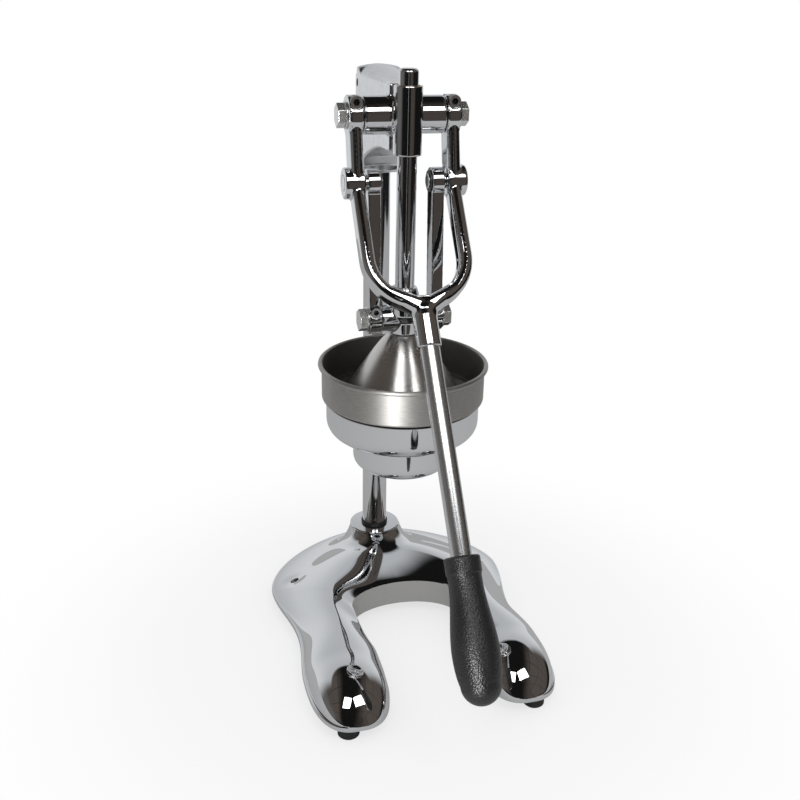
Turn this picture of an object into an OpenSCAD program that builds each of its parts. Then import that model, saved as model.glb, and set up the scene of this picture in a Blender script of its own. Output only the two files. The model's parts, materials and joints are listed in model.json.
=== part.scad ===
// Lever citrus press: horseshoe base, column, head, fork lever, links, press bell and strainer cup.
// Millimetres, Z up, the lever's handle points to -Y. Origin: middle of the bounding box, on the counter.

/* [Stand] */
// Height of the cross shaft above the counter
shaft_h = 464; // [456:1:476]
// Distance from the press axis back to the column axis
column_back = 100; // [97:1:106]
// Diameter of the column
column_d = 24; // [22:0.5:25]
// Height of the rubber feet
foot_h = 12; // [10:1:14]
// Diameter of a rubber foot
foot_d = 18; // [16:1:20]
// Distance of the front feet from the middle plane
foot_half = 80; // [76:1:82]
// Distance of the front feet in front of the press axis
foot_front = 146; // [143:1:148]
// Distance of the rear feet from the middle plane
foot_rear_half = 60; // [54:1:64]
// Distance of the rear feet in front of the column axis
foot_rear_forward = 28; // [24:1:34]
// Diameter of the foot screws
foot_screw_d = 5; // [4:1:5]
// Depth of the foot screws in the base
foot_screw_deep = 11; // [8:1:12]
// Diameter of the bolt that holds the column in the base
column_bolt_d = 12; // [10:1:12]
// Depth of that bolt in the column
column_bolt_deep = 30; // [24:1:36]
// Depth of the seat of that bolt in the base
column_seat = 11; // [10.5:0.5:14]
// Height of the collar ring at the column's foot
column_collar_h = 3.5; // [2.5:0.5:5]
// Wall of the collar ring at the column's foot
column_collar_t = 1.3; // [1:0.1:2]

/* [Base casting] */
// Height of the column boss above the counter
boss_h = 49; // [47:1:53]
// Diameter of the column boss at its top
boss_d = 49.5; // [47:0.5:52]
// Half of the width over the wings
wing_half = 114; // [110:1:118]
// Half of the width at the waist of the legs
waist_half = 101.5; // [99:0.5:104]
// Half of the width over the toes
toe_half = 107; // [104:1:110]
// Half of the gap between the toes
toe_gap_half = 39; // [37:1:41]
// Half of the width of the arch
arch_half = 50; // [47:1:53]
// How far the arch reaches behind the press axis
arch_back = 4.5; // [0:0.5:8]
// How far the arch's round end reaches forward from its back
arch_deep = 29; // [26:1:32]
// How far the widest place of the wings lies in front of the column axis
wing_forward = 52; // [48:1:56]
// How far the waist of the legs lies in front of the press axis
waist_front = 33; // [28:1:38]
// How far the round of the toes starts in front of the press axis
toe_start = 92; // [88:1:96]
// How far the toes reach in front of the press axis
toe_front = 159.5; // [156:0.5:164]
// Casting behind the column axis
rear_over = 43; // [40:1:48]
// Height of the top edge of the machined arch wall
arch_wall_h = 35.5; // [34:0.5:37]
// Height of the casting between the arch and the column boss
arch_ridge_h = 37; // [36:0.5:39]
// Height of the ridge where the legs leave the arch
leg_ridge_h = 43.5; // [41:0.5:45]
// Height of the ridge at the waist of the legs
waist_h = 37; // [35:1:39]
// Height of the toes
toe_h = 43.5; // [41:0.5:45]
// How far the highest place of the toes lies in front of the press axis
ball_front = 115; // [110:1:120]
// Thickness of the casting's outer edge
edge_t = 4.5; // [4:0.5:7]
// Distance between the two counter bolt holes
bolt_spacing = 183; // [178:1:186]
// Diameter of the counter bolt holes
bolt_hole_d = 8; // [6:0.5:9]
// Distance of the counter bolt holes in front of the column axis
bolt_forward = 49; // [46:1:52]

/* [Head casting] */
// Distance from the press axis back to the cross shaft
shaft_back = 17.5; // [17.5:0.5:20]
// Diameter of the guide sleeve
sleeve_d = 23; // [22:0.5:26]
// Reach of the guide sleeve above the cross shaft
sleeve_above = 24; // [22:1:28]
// Reach of the guide sleeve below the cross shaft
sleeve_below = 29; // [26:1:32]
// Diameter of the barrel that carries the cross shaft
barrel_d = 30; // [27:1:32]
// Length of the barrel
barrel_len = 67; // [66:0.2:74]
// Diameter of the socket on the column
socket_d = 38; // [35:1:42]
// Reach of the socket above the cross shaft
socket_above = 33; // [30:1:38]
// Reach of the socket below the cross shaft
socket_below = 57; // [52:1:62]
// Thickness of the arm between socket and barrel
head_arm_t = 22; // [18:1:26]
// Wall of the bronze bushes
bush_wall = 1.2; // [1:0.1:1.3]
// Length of one bronze bush
bush_len = 14; // [10:1:16]

/* [Lever] */
// Diameter of the cross shaft
shaft_d = 14; // [12:0.5:14]
// Diameter of the clamp eyes
eye_d = 31; // [30:0.5:33]
// Thickness of a clamp eye
eye_t = 11.5; // [11:0.5:13]
// Distance from the cross shaft to the middle pins
crank_r = 52; // [50:0.5:55]
// Forward lean of the upper arms at rest, in degrees
crank_lean = 11.5; // [9:0.5:14]
// Forward lean of the handle at rest, in degrees
handle_lean = 36.5; // [34:0.5:38]
// Thickness of the fork arms
arm_t = 11; // [9:0.5:12]
// Depth of the upper arms
upper_arm_w = 24; // [20:1:26]
// Depth of the lower arms
lower_arm_w = 18; // [15:1:20]
// Diameter of the bosses at the middle pins
pin_boss_d = 25; // [23:1:27]
// Length of a boss at the middle pins
pin_boss_len = 16.5; // [14:0.5:18]
// Length of the straight lower arms
fork_run = 65.2; // [60:0.2:72]
// Outside diameter of the handle socket
tube_socket_d = 19.5; // [18.5:0.5:22]
// Length of the handle socket
tube_socket_len = 41; // [36:1:46]
// Diameter of the handle tube
tube_d = 16; // [14:0.5:16.5]
// Wall of the handle tube
tube_wall = 1.5; // [1:0.1:2]
// How far the tube reaches up into the socket's crotch
tube_above = 25; // [20:1:28]
// Bare length of the handle tube
tube_bare = 161; // [150:1:170]
// Length of the grip
grip_len = 107; // [100:1:115]
// Largest diameter of the grip
grip_d = 36; // [33:0.5:38]
// Radius of the grip's round end
grip_end_r = 15.1; // [13:0.1:16]
// How far the tube reaches into the grip
tube_in_grip = 75; // [60:1:84]
// Diameter of the grip's neck
grip_neck_d = 25.6; // [24:0.2:27]
// Diameter of the grip's collar
grip_collar_d = 27.4; // [26:0.2:29]
// Length of the grip's collar
grip_collar_len = 13; // [10:1:15]

/* [Links] */
// Length of a link between its pins
link_len = 112.3; // [110:0.1:115]
// Thickness of a link
link_t = 10; // [9:0.5:11]
// Width of a link
link_w = 15; // [13:0.5:17]
// Diameter of a link's upper eye
link_top_eye_d = 22; // [20:0.5:23]
// Diameter of a link's lower eye
link_low_eye_d = 24; // [22.5:0.5:25]
// Clear space between a link and the fork's pin boss beside it
link_play = 2.25; // [1.75:0.25:3.25]
// Diameter of the middle pins
pin_d = 12; // [10:0.5:12.5]

/* [Fasteners] */
// Diameter of the hex bolts on shaft and links
hex_bolt_d = 10; // [8:1:10]
// Width across flats of the hex heads
hex_af = 17; // [15:0.5:17]
// Height of the hex heads
hex_h = 6.4; // [5.5:0.1:7]
// Thickness of the washers
washer_t = 1.5; // [1:0.1:2]
// Diameter of the washers
washer_d = 21; // [20:0.5:22]
// Diameter of the shaft clamp screws
clamp_screw_d = 6; // [5:0.5:6]
// Diameter of the link clamp screws
link_screw_d = 5; // [4:0.5:5]
// Diameter of the grub screws
grub_d = 8; // [6:1:8]

/* [Press] */
// Diameter of the press rod
rod_d = 16; // [14:0.5:16]
// Reach of the press rod above the sleeve at rest
rod_over = 12.5; // [10:0.5:16]
// Height of the crosshead's hub above its pins
hub_above = 27; // [24:1:30]
// Drop of the crosshead's neck below its pins
neck_below = 13; // [12:0.5:16]
// Diameter of the crosshead's neck
neck_d = 24; // [22:0.5:26]
// Diameter of the crosshead's cross bar
crossbar_d = 22; // [20:0.5:24]
// Height of the bell
bell_h = 60; // [56:1:64]
// Diameter of the bell at its bottom
bell_d = 108; // [104:1:112]
// Thickness of the bell's sheet
bell_t = 1.5; // [1.2:0.1:2]

/* [Cup] */
// Diameter over the strainer cup's rolled rim
rim_d = 146; // [143:1:150]
// Diameter of the rolled bead on the rim
rim_bead_d = 4; // [3.6:0.2:5]
// Diameter of the strainer cup's upper wall
cup_d = 140; // [138:0.5:142]
// Height of the upper wall, from its step to the rim
cup_wall_h = 32.5; // [30:0.5:36]
// Depth of the strainer cup below its step
cup_sump = 15.5; // [13:0.5:18]
// Thickness of the strainer's sheet
cup_t = 1.2; // [1:0.1:1.5]
// Height from the cup's step down to the bell's lower edge at rest
bell_drop = 1.5; // [0:0.5:3]
// Height of the strainer cone
cone_h = 52; // [46:1:54]
// Diameter of the strainer cone at its foot
cone_d = 92; // [88:1:94]
// Diameter of the strainer's holes
strainer_hole_d = 4; // [3:0.5:4.5]
// Outside diameter of the cup holder
holder_d = 132.6; // [131:0.2:135]
// Height of the holder's upper ring
holder_ring_h = 32.5; // [30:0.5:36]
// Diameter of the holder's lower step
holder_step_d = 86; // [82:1:90]
// Height of the holder's lower step
holder_step_h = 31; // [28:1:34]
// Diameter of the holder's outlet
outlet_d = 50; // [44:1:54]
// Wall of the cup holder
holder_wall = 3; // [2.5:0.1:3.5]
// Diameter of the holder's collar on the column
collar_d = 40; // [37:1:44]
// Height of the holder's collar
collar_h = 40; // [32:1:44]
// How far the collar reaches below the holder's ring
collar_drop = 6; // [4:1:8]
// Width of the bracket between ring and collar
bracket_w = 26.6; // [22:0.2:30]
// Height of the bracket between ring and collar
bracket_h = 28; // [24:1:30]

/* [Clearances] */
// Radial clearance of parts that turn or slide on each other
run_fit = 0.05; // [0.02:0.01:0.08]
// Radial clearance of parts that are fixed in each other
fixed_fit = 0.02; // [0.01:0.01:0.03]
// Side gap between parts that move past each other
side_gap = 0.5; // [0.3:0.1:0.8]

/* [Hidden] */
$fn = 96;
eps = 0.5;
// Play of washers and sheet round their bolts
hole_play = 0.6;
// Room at the end of blind holes
end_gap = 2;
// Edge breaks on turned parts
edge_r = 1;

// Linkage at rest, in the middle plane
pin_y = shaft_back - crank_r * sin(crank_lean);
pin_z = shaft_h - crank_r * cos(crank_lean);
cross_z = pin_z - sqrt(link_len * link_len - pin_y * pin_y);
link_lean = asin(pin_y / link_len);

// Press column of parts under the links
hub_top_z = cross_z + hub_above;
neck_z = cross_z - neck_below;
bell_edge_z = neck_z - bell_h;
step_z = bell_edge_z + bell_drop;
sump_z = step_z - cup_sump;
sleeve_top_z = shaft_h + sleeve_above;
sleeve_low_z = shaft_h - sleeve_below;
rod_top_z = sleeve_top_z + rod_over;
holder_low_z = step_z - holder_ring_h;
outlet_z = holder_low_z - holder_step_h;

// Widths from the middle plane outwards
eye_in = barrel_len / 2 + side_gap;
eye_out = eye_in + eye_t;
eye_x = (eye_in + eye_out) / 2;
arm_x = eye_x;
boss_in = arm_x - arm_t / 2 - side_gap;
pin_out = boss_in + pin_boss_len;
link_out = boss_in - link_play;
link_gap_half = link_out - link_t;
link_x = link_gap_half + link_t / 2;
crossbar_half = link_gap_half - side_gap;

// Handle, as distances down the lever from the middle pins
u_low = fork_run + arm_x + arm_t / 2;
socket_start = u_low - arm_t;
socket_end = socket_start + tube_socket_len;
tube_start = socket_end - tube_above;
grip_start = socket_end + tube_bare;
tube_end = grip_start + tube_in_grip;

// Where the origin lies: half way between grip and rear edge
front_y = pin_y - (grip_start + grip_len - grip_end_r) * sin(handle_lean) - grip_end_r;
rear_y = column_back + rear_over;
press_y = -(front_y + rear_y) / 2;

// Base casting
base_z = foot_h;
edge_z = base_z + edge_t;
toe_x = (toe_half + toe_gap_half) / 2;
toe_half_w = (toe_half - toe_gap_half) / 2;
toe_y = -toe_start;
toe_len = toe_front + toe_y;
wing_y = column_back - wing_forward;
waist_y = -waist_front;
wall_fall = 0.5;
leg_wall_h = arch_wall_h - wall_fall;
tip_t = 1;
outline_power = 1.7;
toe_outline_power = 2.7;
ball_rise = 1.5;
ball_drop = toe_h - base_z - 2 * tip_t;
ball_run = toe_front - ball_front;
ball_r = (ball_drop * ball_drop + ball_run * ball_run) / (2 * ball_drop);
arch_ridge_share = 0.44;
leg_ridge_share = 0.24;
toe_ridge_share = 0.5;
ridge_power = 0.75;
ridge_rise_power = 0.7;
share_power = 0.6;
wall_end_share = 0.7;
gap_end_share = 0.86;
flare_power = 3.5;
flare_rise = 3.5;
flare_low_z = edge_z + flare_rise;
flare_steps = 10;
arch_steps = 14;
leg_steps = 14;
toe_steps = 9;
inner_steps = 5;
outer_steps = 8;
foot_front_y = -foot_front;
foot_rear_y = column_back - foot_rear_forward;
foot_screw_top = base_z + foot_screw_deep;
counterbore_d = 34;
column_foot_z = base_z + column_seat;
column_washer_t = 3;
column_nut_h = 7;
column_nut_af = 19;
column_collar_d = column_d + 2 * column_collar_t;
column_top_z = shaft_h + socket_above - 12;

// Fastener heads, from their shank
function cap_d(d) = d * 1.65;
function cap_h(d) = d;
function key_af(d) = d * 0.83;

// Shared shapes

module place() {
    translate([0, press_y, 0]) children();
}

module both_sides() {
    children();
    mirror([1, 0, 0]) children();
}

// Cylinder along X from x0 to x1 at a place in the middle plane
module x_cyl(x0, x1, d, y, z) {
    translate([x0, y, z]) rotate([0, 90, 0]) cylinder(d = d, h = x1 - x0);
}

// Cylinder along Y from y0 to y1
module y_cyl(y0, y1, d, x, z) {
    translate([x, y0, z]) rotate([-90, 0, 0]) cylinder(d = d, h = y1 - y0);
}

// Hex prism along X
module x_hex(x0, x1, af, y, z) {
    translate([x0, y, z]) rotate([0, 90, 0]) cylinder(d = af / cos(30), h = x1 - x0, $fn = 6);
}

// Ring along X
module x_ring(x0, x1, d, bore, y, z) {
    difference() {
        x_cyl(x0, x1, d, y, z);
        x_cyl(x0 - eps, x1 + eps, bore, y, z);
    }
}

// Stadium outline, t across X and w along Y
module stadium(t, w) {
    square([t, w - t], center = true);
    for (s = [-1, 1]) translate([0, s * (w - t) / 2]) circle(d = t);
}

// Socket cap screw along Y, its head towards -Y and starting at y0
module cap_screw(d, y0, length, x, z) {
    difference() {
        union() {
            y_cyl(y0, y0 + cap_h(d), cap_d(d), x, z);
            y_cyl(y0 + cap_h(d), y0 + cap_h(d) + length, d, x, z);
        }
        translate([x, y0 - eps, z]) rotate([-90, 0, 0])
            cylinder(d = key_af(d) / cos(30), h = cap_h(d) / 2 + eps, $fn = 6);
    }
}

// Grub screw along Y from y0 inwards to y1, its key hole at y0
module grub_screw(d, y0, y1, z) {
    difference() {
        y_cyl(y1, y0, d, 0, z);
        translate([0, y0 + eps, z]) rotate([90, 0, 0])
            cylinder(d = d * 0.5 / cos(30), h = d * 0.4 + eps, $fn = 6);
    }
}

// Frame that runs down the lever: origin on the middle pins, Z along the handle, Y to its front
module lever_frame() {
    translate([0, pin_y, pin_z]) rotate([180 - handle_lean, 0, 0]) children();
}

// Base casting: sections across the horseshoe, from the arch side to the outer edge

function mix(a, b, t) = a + (b - a) * t;
function ease(t) = (1 - cos(180 * t)) / 2;

// A section: inner x, y, outer x, y, wall height, ridge height, ridge share, dome share, roll share
function arch_section(a) =
    let (p = 2 / outline_power, t = a / 90)
    [arch_half * sin(a), arch_back - arch_deep * (1 - cos(a)),
     wing_half * pow(sin(a), p), wing_y + (rear_y - wing_y) * pow(cos(a), p),
     mix(arch_wall_h, leg_wall_h, t), mix(arch_ridge_h, leg_ridge_h, pow(sin(a), ridge_rise_power)),
     mix(arch_ridge_share, leg_ridge_share, sin(a)), 0, 1 - ease(t)];

function leg_section(t) =
    let (iy = mix(arch_back - arch_deep, toe_y, t), oy = mix(wing_y, toe_y, t),
         ox = oy > waist_y ? mix(wing_half, waist_half, ease((wing_y - oy) / (wing_y - waist_y)))
                           : mix(waist_half, toe_half, ease((waist_y - oy) / (waist_y - toe_y))))
    [mix(arch_half, toe_gap_half, ease(min(1, t / gap_end_share))), iy, ox, oy,
     mix(leg_wall_h, edge_z, ease(min(1, t / wall_end_share))),
     t < 0.5 ? mix(leg_ridge_h, waist_h, ease(2 * t)) : mix(waist_h, toe_h - ball_rise, ease(2 * t - 1)),
     mix(leg_ridge_share, toe_ridge_share, pow(ease(t), share_power)), ease(t), ease(t)];

// Height of a toe's crest, which rises a little and then ends in a ball
function crest(y) =
    -y < ball_front ? mix(toe_h - ball_rise, toe_h, ease((toe_y - y) / (ball_front - toe_start)))
                    : toe_h - ball_r + sqrt(pow(ball_r, 2) - pow(y + ball_front, 2));

// Round end of a toe, whose outline is a super-ellipse
function toe_section(a) =
    let (t = sin(a), w = toe_half_w * pow(1 - pow(t, toe_outline_power), 1 / toe_outline_power),
         y = toe_y - toe_len * t, low = base_z + tip_t, top = max(crest(y), low + tip_t))
    [toe_x - w, y, toe_x + w, y, mix(low, edge_z, min(1, (top - low) / (toe_h - ball_rise - low))), top,
     toe_ridge_share, 1, 1];

toe_end_a = 86;
half_sections = [
    for (i = [0 : arch_steps]) arch_section(90 * i / arch_steps),
    for (i = [1 : leg_steps]) leg_section(i / leg_steps),
    for (i = [1 : toe_steps]) toe_section(toe_end_a * i / toe_steps)];
last = len(half_sections) - 1;
sections = [for (i = [last : -1 : 1]) half_sections[i],
            for (s = half_sections) [-s[0], s[1], -s[2], s[3], s[4], s[5], s[6], s[7], s[8]]];

// Height shares of the slopes inside and outside the ridge: soft on the arch and wings, a dome on the toes
function soft(t) = pow(1 - t, 2) * (1 + 2 * t);
function domed(t) = sqrt(max(0, 1 - t * t));
function slope(t, dome) = mix(soft(t), domed(t), dome);
function rise(t, roll) = mix(pow(t, ridge_power), domed(1 - t), roll);

function section_points(s) = [
    [0, base_z], [0, s[4]],
    for (i = [1 : inner_steps]) let (t = i / inner_steps) [s[6] * t, mix(s[4], s[5], rise(t, s[8]))],
    for (i = [1 : outer_steps]) let (t = i / outer_steps)
        [mix(s[6], 1, t), mix(min(edge_z, s[5] - 0.5), s[5], slope(t, s[7]))],
    [1, base_z]];

ring_n = 4 + inner_steps + outer_steps - 1;
base_points = [for (s = sections) for (p = section_points(s))
    [mix(s[0], s[2], p[0]), mix(s[1], s[3], p[0]), p[1]]];
section_n = len(sections);
base_faces = [
    for (i = [0 : section_n - 2]) for (j = [0 : ring_n - 1])
        let (k = (j + 1) % ring_n, a = i * ring_n, b = a + ring_n)
        each [[a + j, b + k, a + k], [a + j, b + j, b + k]],
    [for (j = [0 : ring_n - 1]) j],
    [for (j = [ring_n - 1 : -1 : 0]) (section_n - 1) * ring_n + j]];

foot_places = [[foot_half, foot_front_y], [-foot_half, foot_front_y],
               [foot_rear_half, foot_rear_y], [-foot_rear_half, foot_rear_y]];

// Radius of the boss's flare at a height
function flare_r(z) = boss_d / 2 * pow((boss_h - base_z) / (z - base_z), 1 / flare_power);

module boss() {
    translate([0, column_back, 0]) rotate_extrude()
        polygon([[0, base_z + edge_r], [flare_r(flare_low_z), base_z + edge_r],
                 for (i = [0 : flare_steps])
                     let (z = mix(flare_low_z, boss_h - edge_r, ease(i / flare_steps))) [flare_r(z), z],
                 [boss_d / 2 - edge_r, boss_h], [0, boss_h]]);
}

module base_casting() color([0.82, 0.83, 0.85]) place() difference() {
    union() {
        polyhedron(base_points, base_faces, convexity = 8);
        boss();
    }
    translate([0, column_back, column_foot_z]) cylinder(d = column_d + 2 * fixed_fit, h = boss_h);
    translate([0, column_back, base_z - eps]) cylinder(d = counterbore_d, h = column_foot_z - base_z + eps);
    for (s = [-1, 1]) translate([s * bolt_spacing / 2, column_back - bolt_forward, base_z - eps])
        cylinder(d = bolt_hole_d, h = boss_h);
    for (p = foot_places) translate([p[0], p[1], base_z - eps])
        cylinder(d = foot_screw_d + 2 * fixed_fit, h = foot_screw_top - base_z + eps);
}

foot_recess = 5;
foot_head_h = 3;

module rubber_feet() color([0.06, 0.06, 0.06]) place() for (p = foot_places) translate([p[0], p[1], 0])
    difference() {
        rotate_extrude() polygon([[0, 0], [foot_d / 2 - edge_r, 0], [foot_d / 2, edge_r],
            [foot_d / 2, foot_h], [0, foot_h]]);
        translate([0, 0, -eps]) cylinder(d = foot_screw_d + 2 * fixed_fit, h = foot_h + 2 * eps);
        translate([0, 0, -eps]) cylinder(d = cap_d(foot_screw_d) + 1, h = foot_recess + eps);
    }

module foot_screws() color([0.6, 0.6, 0.62]) place() for (p = foot_places) translate([p[0], p[1], 0])
    difference() {
        union() {
            translate([0, 0, foot_recess - foot_head_h]) cylinder(d = cap_d(foot_screw_d), h = foot_head_h);
            translate([0, 0, foot_recess])
                cylinder(d = foot_screw_d, h = foot_screw_top - foot_recess - end_gap / 2);
        }
        translate([0, 0, foot_recess - foot_head_h - eps])
            cylinder(d = key_af(foot_screw_d), h = foot_head_h / 2 + eps, $fn = 6);
    }

// Column

module column() color([0.85, 0.86, 0.88]) place() translate([0, column_back, 0]) difference() {
    rotate_extrude() polygon([[0, column_foot_z], [column_d / 2, column_foot_z],
        [column_d / 2, column_top_z - edge_r], [column_d / 2 - edge_r, column_top_z], [0, column_top_z]]);
    translate([0, 0, column_foot_z - eps])
        cylinder(d = column_bolt_d + 2 * fixed_fit, h = column_bolt_deep + end_gap + eps);
}

module column_collar() color([0.75, 0.76, 0.78]) place() translate([0, column_back, boss_h]) difference() {
    rotate_extrude() polygon([[0, 0], [column_collar_d / 2, 0], [column_collar_d / 2, column_collar_h - 0.8],
        [column_collar_d / 2 - 0.8, column_collar_h], [0, column_collar_h]]);
    translate([0, 0, -eps]) cylinder(d = column_d + 2 * fixed_fit, h = column_collar_h + 2 * eps);
}

module column_washer() color([0.6, 0.6, 0.62]) place()
    translate([0, column_back, column_foot_z - column_washer_t]) difference() {
        cylinder(d = counterbore_d - 2, h = column_washer_t);
        translate([0, 0, -eps]) cylinder(d = column_bolt_d + hole_play, h = column_washer_t + 2 * eps);
    }

module column_bolt() color([0.6, 0.6, 0.62]) place() translate([0, column_back, 0]) {
    translate([0, 0, column_foot_z - column_washer_t - column_nut_h])
        cylinder(d = column_nut_af / cos(30), h = column_nut_h, $fn = 6);
    translate([0, 0, column_foot_z - column_washer_t])
        cylinder(d = column_bolt_d, h = column_bolt_deep + column_washer_t);
}

// Head casting

crown_h = socket_above - sleeve_above;
nose_run = 18;
nose_gap = 5;
web_run = 16;
web_bow = 1.6;
web_foot = 12;
socket_edge = 1.5;
// Room round rod and shaft between the bushes
relief = 0.4;
// Room between a grub screw's tip and its bar
grub_gap = 0.1;
head_screw_z = shaft_h - (socket_below - socket_above) / 2;
guide_bore = rod_d + 2 * (run_fit + bush_wall);
shaft_bore = shaft_d + 2 * (run_fit + bush_wall);

// Points of a crown of the head's rise over a half width w, from its edge to its middle
function crown(w) =
    let (r = (w * w + crown_h * crown_h) / (2 * crown_h), edge_a = asin(w / r))
    [for (i = [6 : -1 : 0]) let (a = edge_a * i / 6)
        [r * sin(a), sleeve_above - r * (cos(edge_a) - cos(a))]];

// Side view of the arm, Y to the right and Z up from the shaft
module head_arm_side() {
    nose_y = rod_d / 2 + nose_gap;
    web_y = shaft_back + web_run;
    socket_y = column_back - socket_d / 2;
    web_top = sleeve_below - edge_r;
    polygon([[column_back, socket_above], [nose_y + nose_run, socket_above], [nose_y, sleeve_above],
             [nose_y, -web_top], [web_y, -web_top],
             for (i = [1 : 5]) let (t = i / 6)
                 [mix(web_y, socket_y, t), -mix(web_top, socket_below - web_foot, pow(t, web_bow))],
             [socket_y, web_foot * 2 / 3 - socket_below], [column_back, web_foot / 2 - socket_below]]);
}

// Front view of the arm with its crown, X to the right and Z up from the shaft
module head_arm_front() {
    half = head_arm_t / 2;
    side = crown(half);
    polygon([[-half, -socket_below], [half, -socket_below], each side,
             for (i = [len(side) - 2 : -1 : 0]) [-side[i][0], side[i][1]]]);
}

module head_arm() translate([0, 0, shaft_h]) intersection() {
    translate([-head_arm_t / 2, 0, 0]) rotate([90, 0, 90]) linear_extrude(head_arm_t) head_arm_side();
    translate([0, column_back, 0]) rotate([90, 0, 0]) linear_extrude(column_back) head_arm_front();
}

module head_socket() {
    r = socket_d / 2;
    translate([0, column_back, shaft_h]) rotate_extrude()
        polygon([[0, -socket_below], [r - socket_edge, -socket_below], [r, socket_edge - socket_below],
                 each crown(r)]);
}

module head_casting() color([0.82, 0.83, 0.85]) place() difference() {
    union() {
        head_socket();
        head_arm();
        x_cyl(-barrel_len / 2, barrel_len / 2, barrel_d, shaft_back, shaft_h);
        translate([0, 0, sleeve_low_z]) cylinder(d = sleeve_d, h = sleeve_top_z - sleeve_low_z);
    }
    translate([0, column_back, shaft_h - socket_below - eps])
        cylinder(d = column_d + 2 * fixed_fit, h = column_top_z - shaft_h + socket_below + eps + grub_gap);
    translate([0, 0, sleeve_low_z - eps])
        cylinder(d = rod_d + 2 * relief, h = sleeve_top_z - sleeve_low_z + 2 * eps);
    x_cyl(-barrel_len / 2 - eps, barrel_len / 2 + eps, shaft_d + 2 * relief, shaft_back, shaft_h);
    for (z = [sleeve_low_z - eps, sleeve_top_z - bush_len]) translate([0, 0, z])
        cylinder(d = guide_bore + 2 * fixed_fit, h = bush_len + eps);
    both_sides() x_cyl(barrel_len / 2 - bush_len, barrel_len / 2 + eps, shaft_bore + 2 * fixed_fit,
                       shaft_back, shaft_h);
    y_cyl(column_back, column_back + socket_d, grub_d + 2 * fixed_fit, 0, head_screw_z);
}

module head_screw() color([0.35, 0.35, 0.37]) place()
    grub_screw(grub_d, column_back + socket_d / 2 - edge_r / 2, column_back + column_d / 2 + grub_gap,
               head_screw_z);

module guide_bushes() color([0.72, 0.55, 0.28]) place()
    for (z = [sleeve_low_z, sleeve_top_z - bush_len]) translate([0, 0, z]) difference() {
        cylinder(d = guide_bore, h = bush_len);
        translate([0, 0, -eps]) cylinder(d = rod_d + 2 * run_fit, h = bush_len + 2 * eps);
    }

module shaft_bushes() color([0.72, 0.55, 0.28]) place() both_sides()
    x_ring(barrel_len / 2 - bush_len, barrel_len / 2, shaft_bore, shaft_d + 2 * run_fit,
           shaft_back, shaft_h);

// Cup holder and strainer, turned about the press axis

holder_r = holder_d / 2;
step_r = holder_step_d / 2;
ring_round = 13;
step_round = 9;

// Outline of the holder's outside from the rim down to the outlet, moved inwards by g
function holder_side(g) = [
    [holder_r - g, step_z],
    for (i = [0 : 6]) let (a = 15 * i, q = ring_round - g)
        [holder_r - ring_round + q * cos(a), holder_low_z + ring_round - q * sin(a)],
    for (i = [0 : 3]) let (a = 30 * i, q = 4 + g)
        [step_r + 4 - q * sin(a), holder_low_z - 4 + q * cos(a)],
    for (i = [0 : 6]) let (a = 15 * i, q = step_round - g)
        [step_r - step_round + q * cos(a), outlet_z + step_round - q * sin(a)]];

function backwards(v) = [for (i = [len(v) - 1 : -1 : 0]) v[i]];

// How far bracket and holder wall run into each other
bracket_in = holder_wall / 2;
collar_low_z = holder_low_z - collar_drop;
bracket_low_z = collar_low_z + 4;

module cup_holder() color([0.78, 0.8, 0.82]) place() difference() {
    union() {
        rotate_extrude($fn = 128) polygon(concat(holder_side(0),
            [[outlet_d / 2, outlet_z], [outlet_d / 2, outlet_z + holder_wall]],
            backwards(holder_side(holder_wall))));
        difference() {
            union() {
                translate([0, column_back, collar_low_z]) cylinder(d = collar_d, h = collar_h);
                translate([-bracket_w / 2, 0, bracket_low_z]) cube([bracket_w, column_back, bracket_h]);
            }
            rotate_extrude($fn = 128) polygon([[0, outlet_z - eps], [step_r - bracket_in, outlet_z - eps],
                [step_r - bracket_in, holder_low_z], [holder_r - bracket_in, holder_low_z + ring_round],
                [holder_r - bracket_in, step_z + eps], [0, step_z + eps]]);
        }
    }
    translate([0, column_back, collar_low_z - eps])
        cylinder(d = column_d + 2 * fixed_fit, h = collar_h + 2 * eps);
    y_cyl(column_back, column_back + collar_d, grub_d + 2 * fixed_fit, 0, collar_low_z + collar_h / 2);
}

module holder_screw() color([0.35, 0.35, 0.37]) place()
    grub_screw(grub_d, column_back + collar_d / 2 - edge_r / 2, column_back + column_d / 2 + grub_gap,
               collar_low_z + collar_h / 2);

cup_r = cup_d / 2;
sump_r = holder_r - holder_wall - 1.3;
rim_r = rim_bead_d / 2;
rim_z = step_z + cup_wall_h - rim_r;
cone_r = cone_d / 2;
cone_seat = cone_r - 1.5;
hole_r = (cone_r + sump_r - cup_t) / 2;

module strainer_cup() color([0.62, 0.6, 0.57]) place() difference() {
    union() {
        rotate_extrude($fn = 128) {
            polygon([[cup_r, step_z], [cup_r, rim_z], [cup_r - cup_t, rim_z],
                     [cup_r - cup_t, step_z + cup_t], [sump_r - cup_t, step_z + cup_t],
                     [sump_r - cup_t, sump_z + cup_t],
                     [cone_seat, sump_z + cup_t], [cone_seat, sump_z], [sump_r, sump_z], [sump_r, step_z]]);
            translate([rim_d / 2 - rim_r, rim_z]) circle(r = rim_r, $fn = 32);
        }
    }
    for (i = [0 : 23]) rotate([0, 0, 15 * i]) translate([hole_r, 0, sump_z - eps])
        cylinder(d = strainer_hole_d, h = cup_t + 2 * eps, $fn = 24);
}

cone_top_r = 6;
cone_rows = 3;

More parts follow.
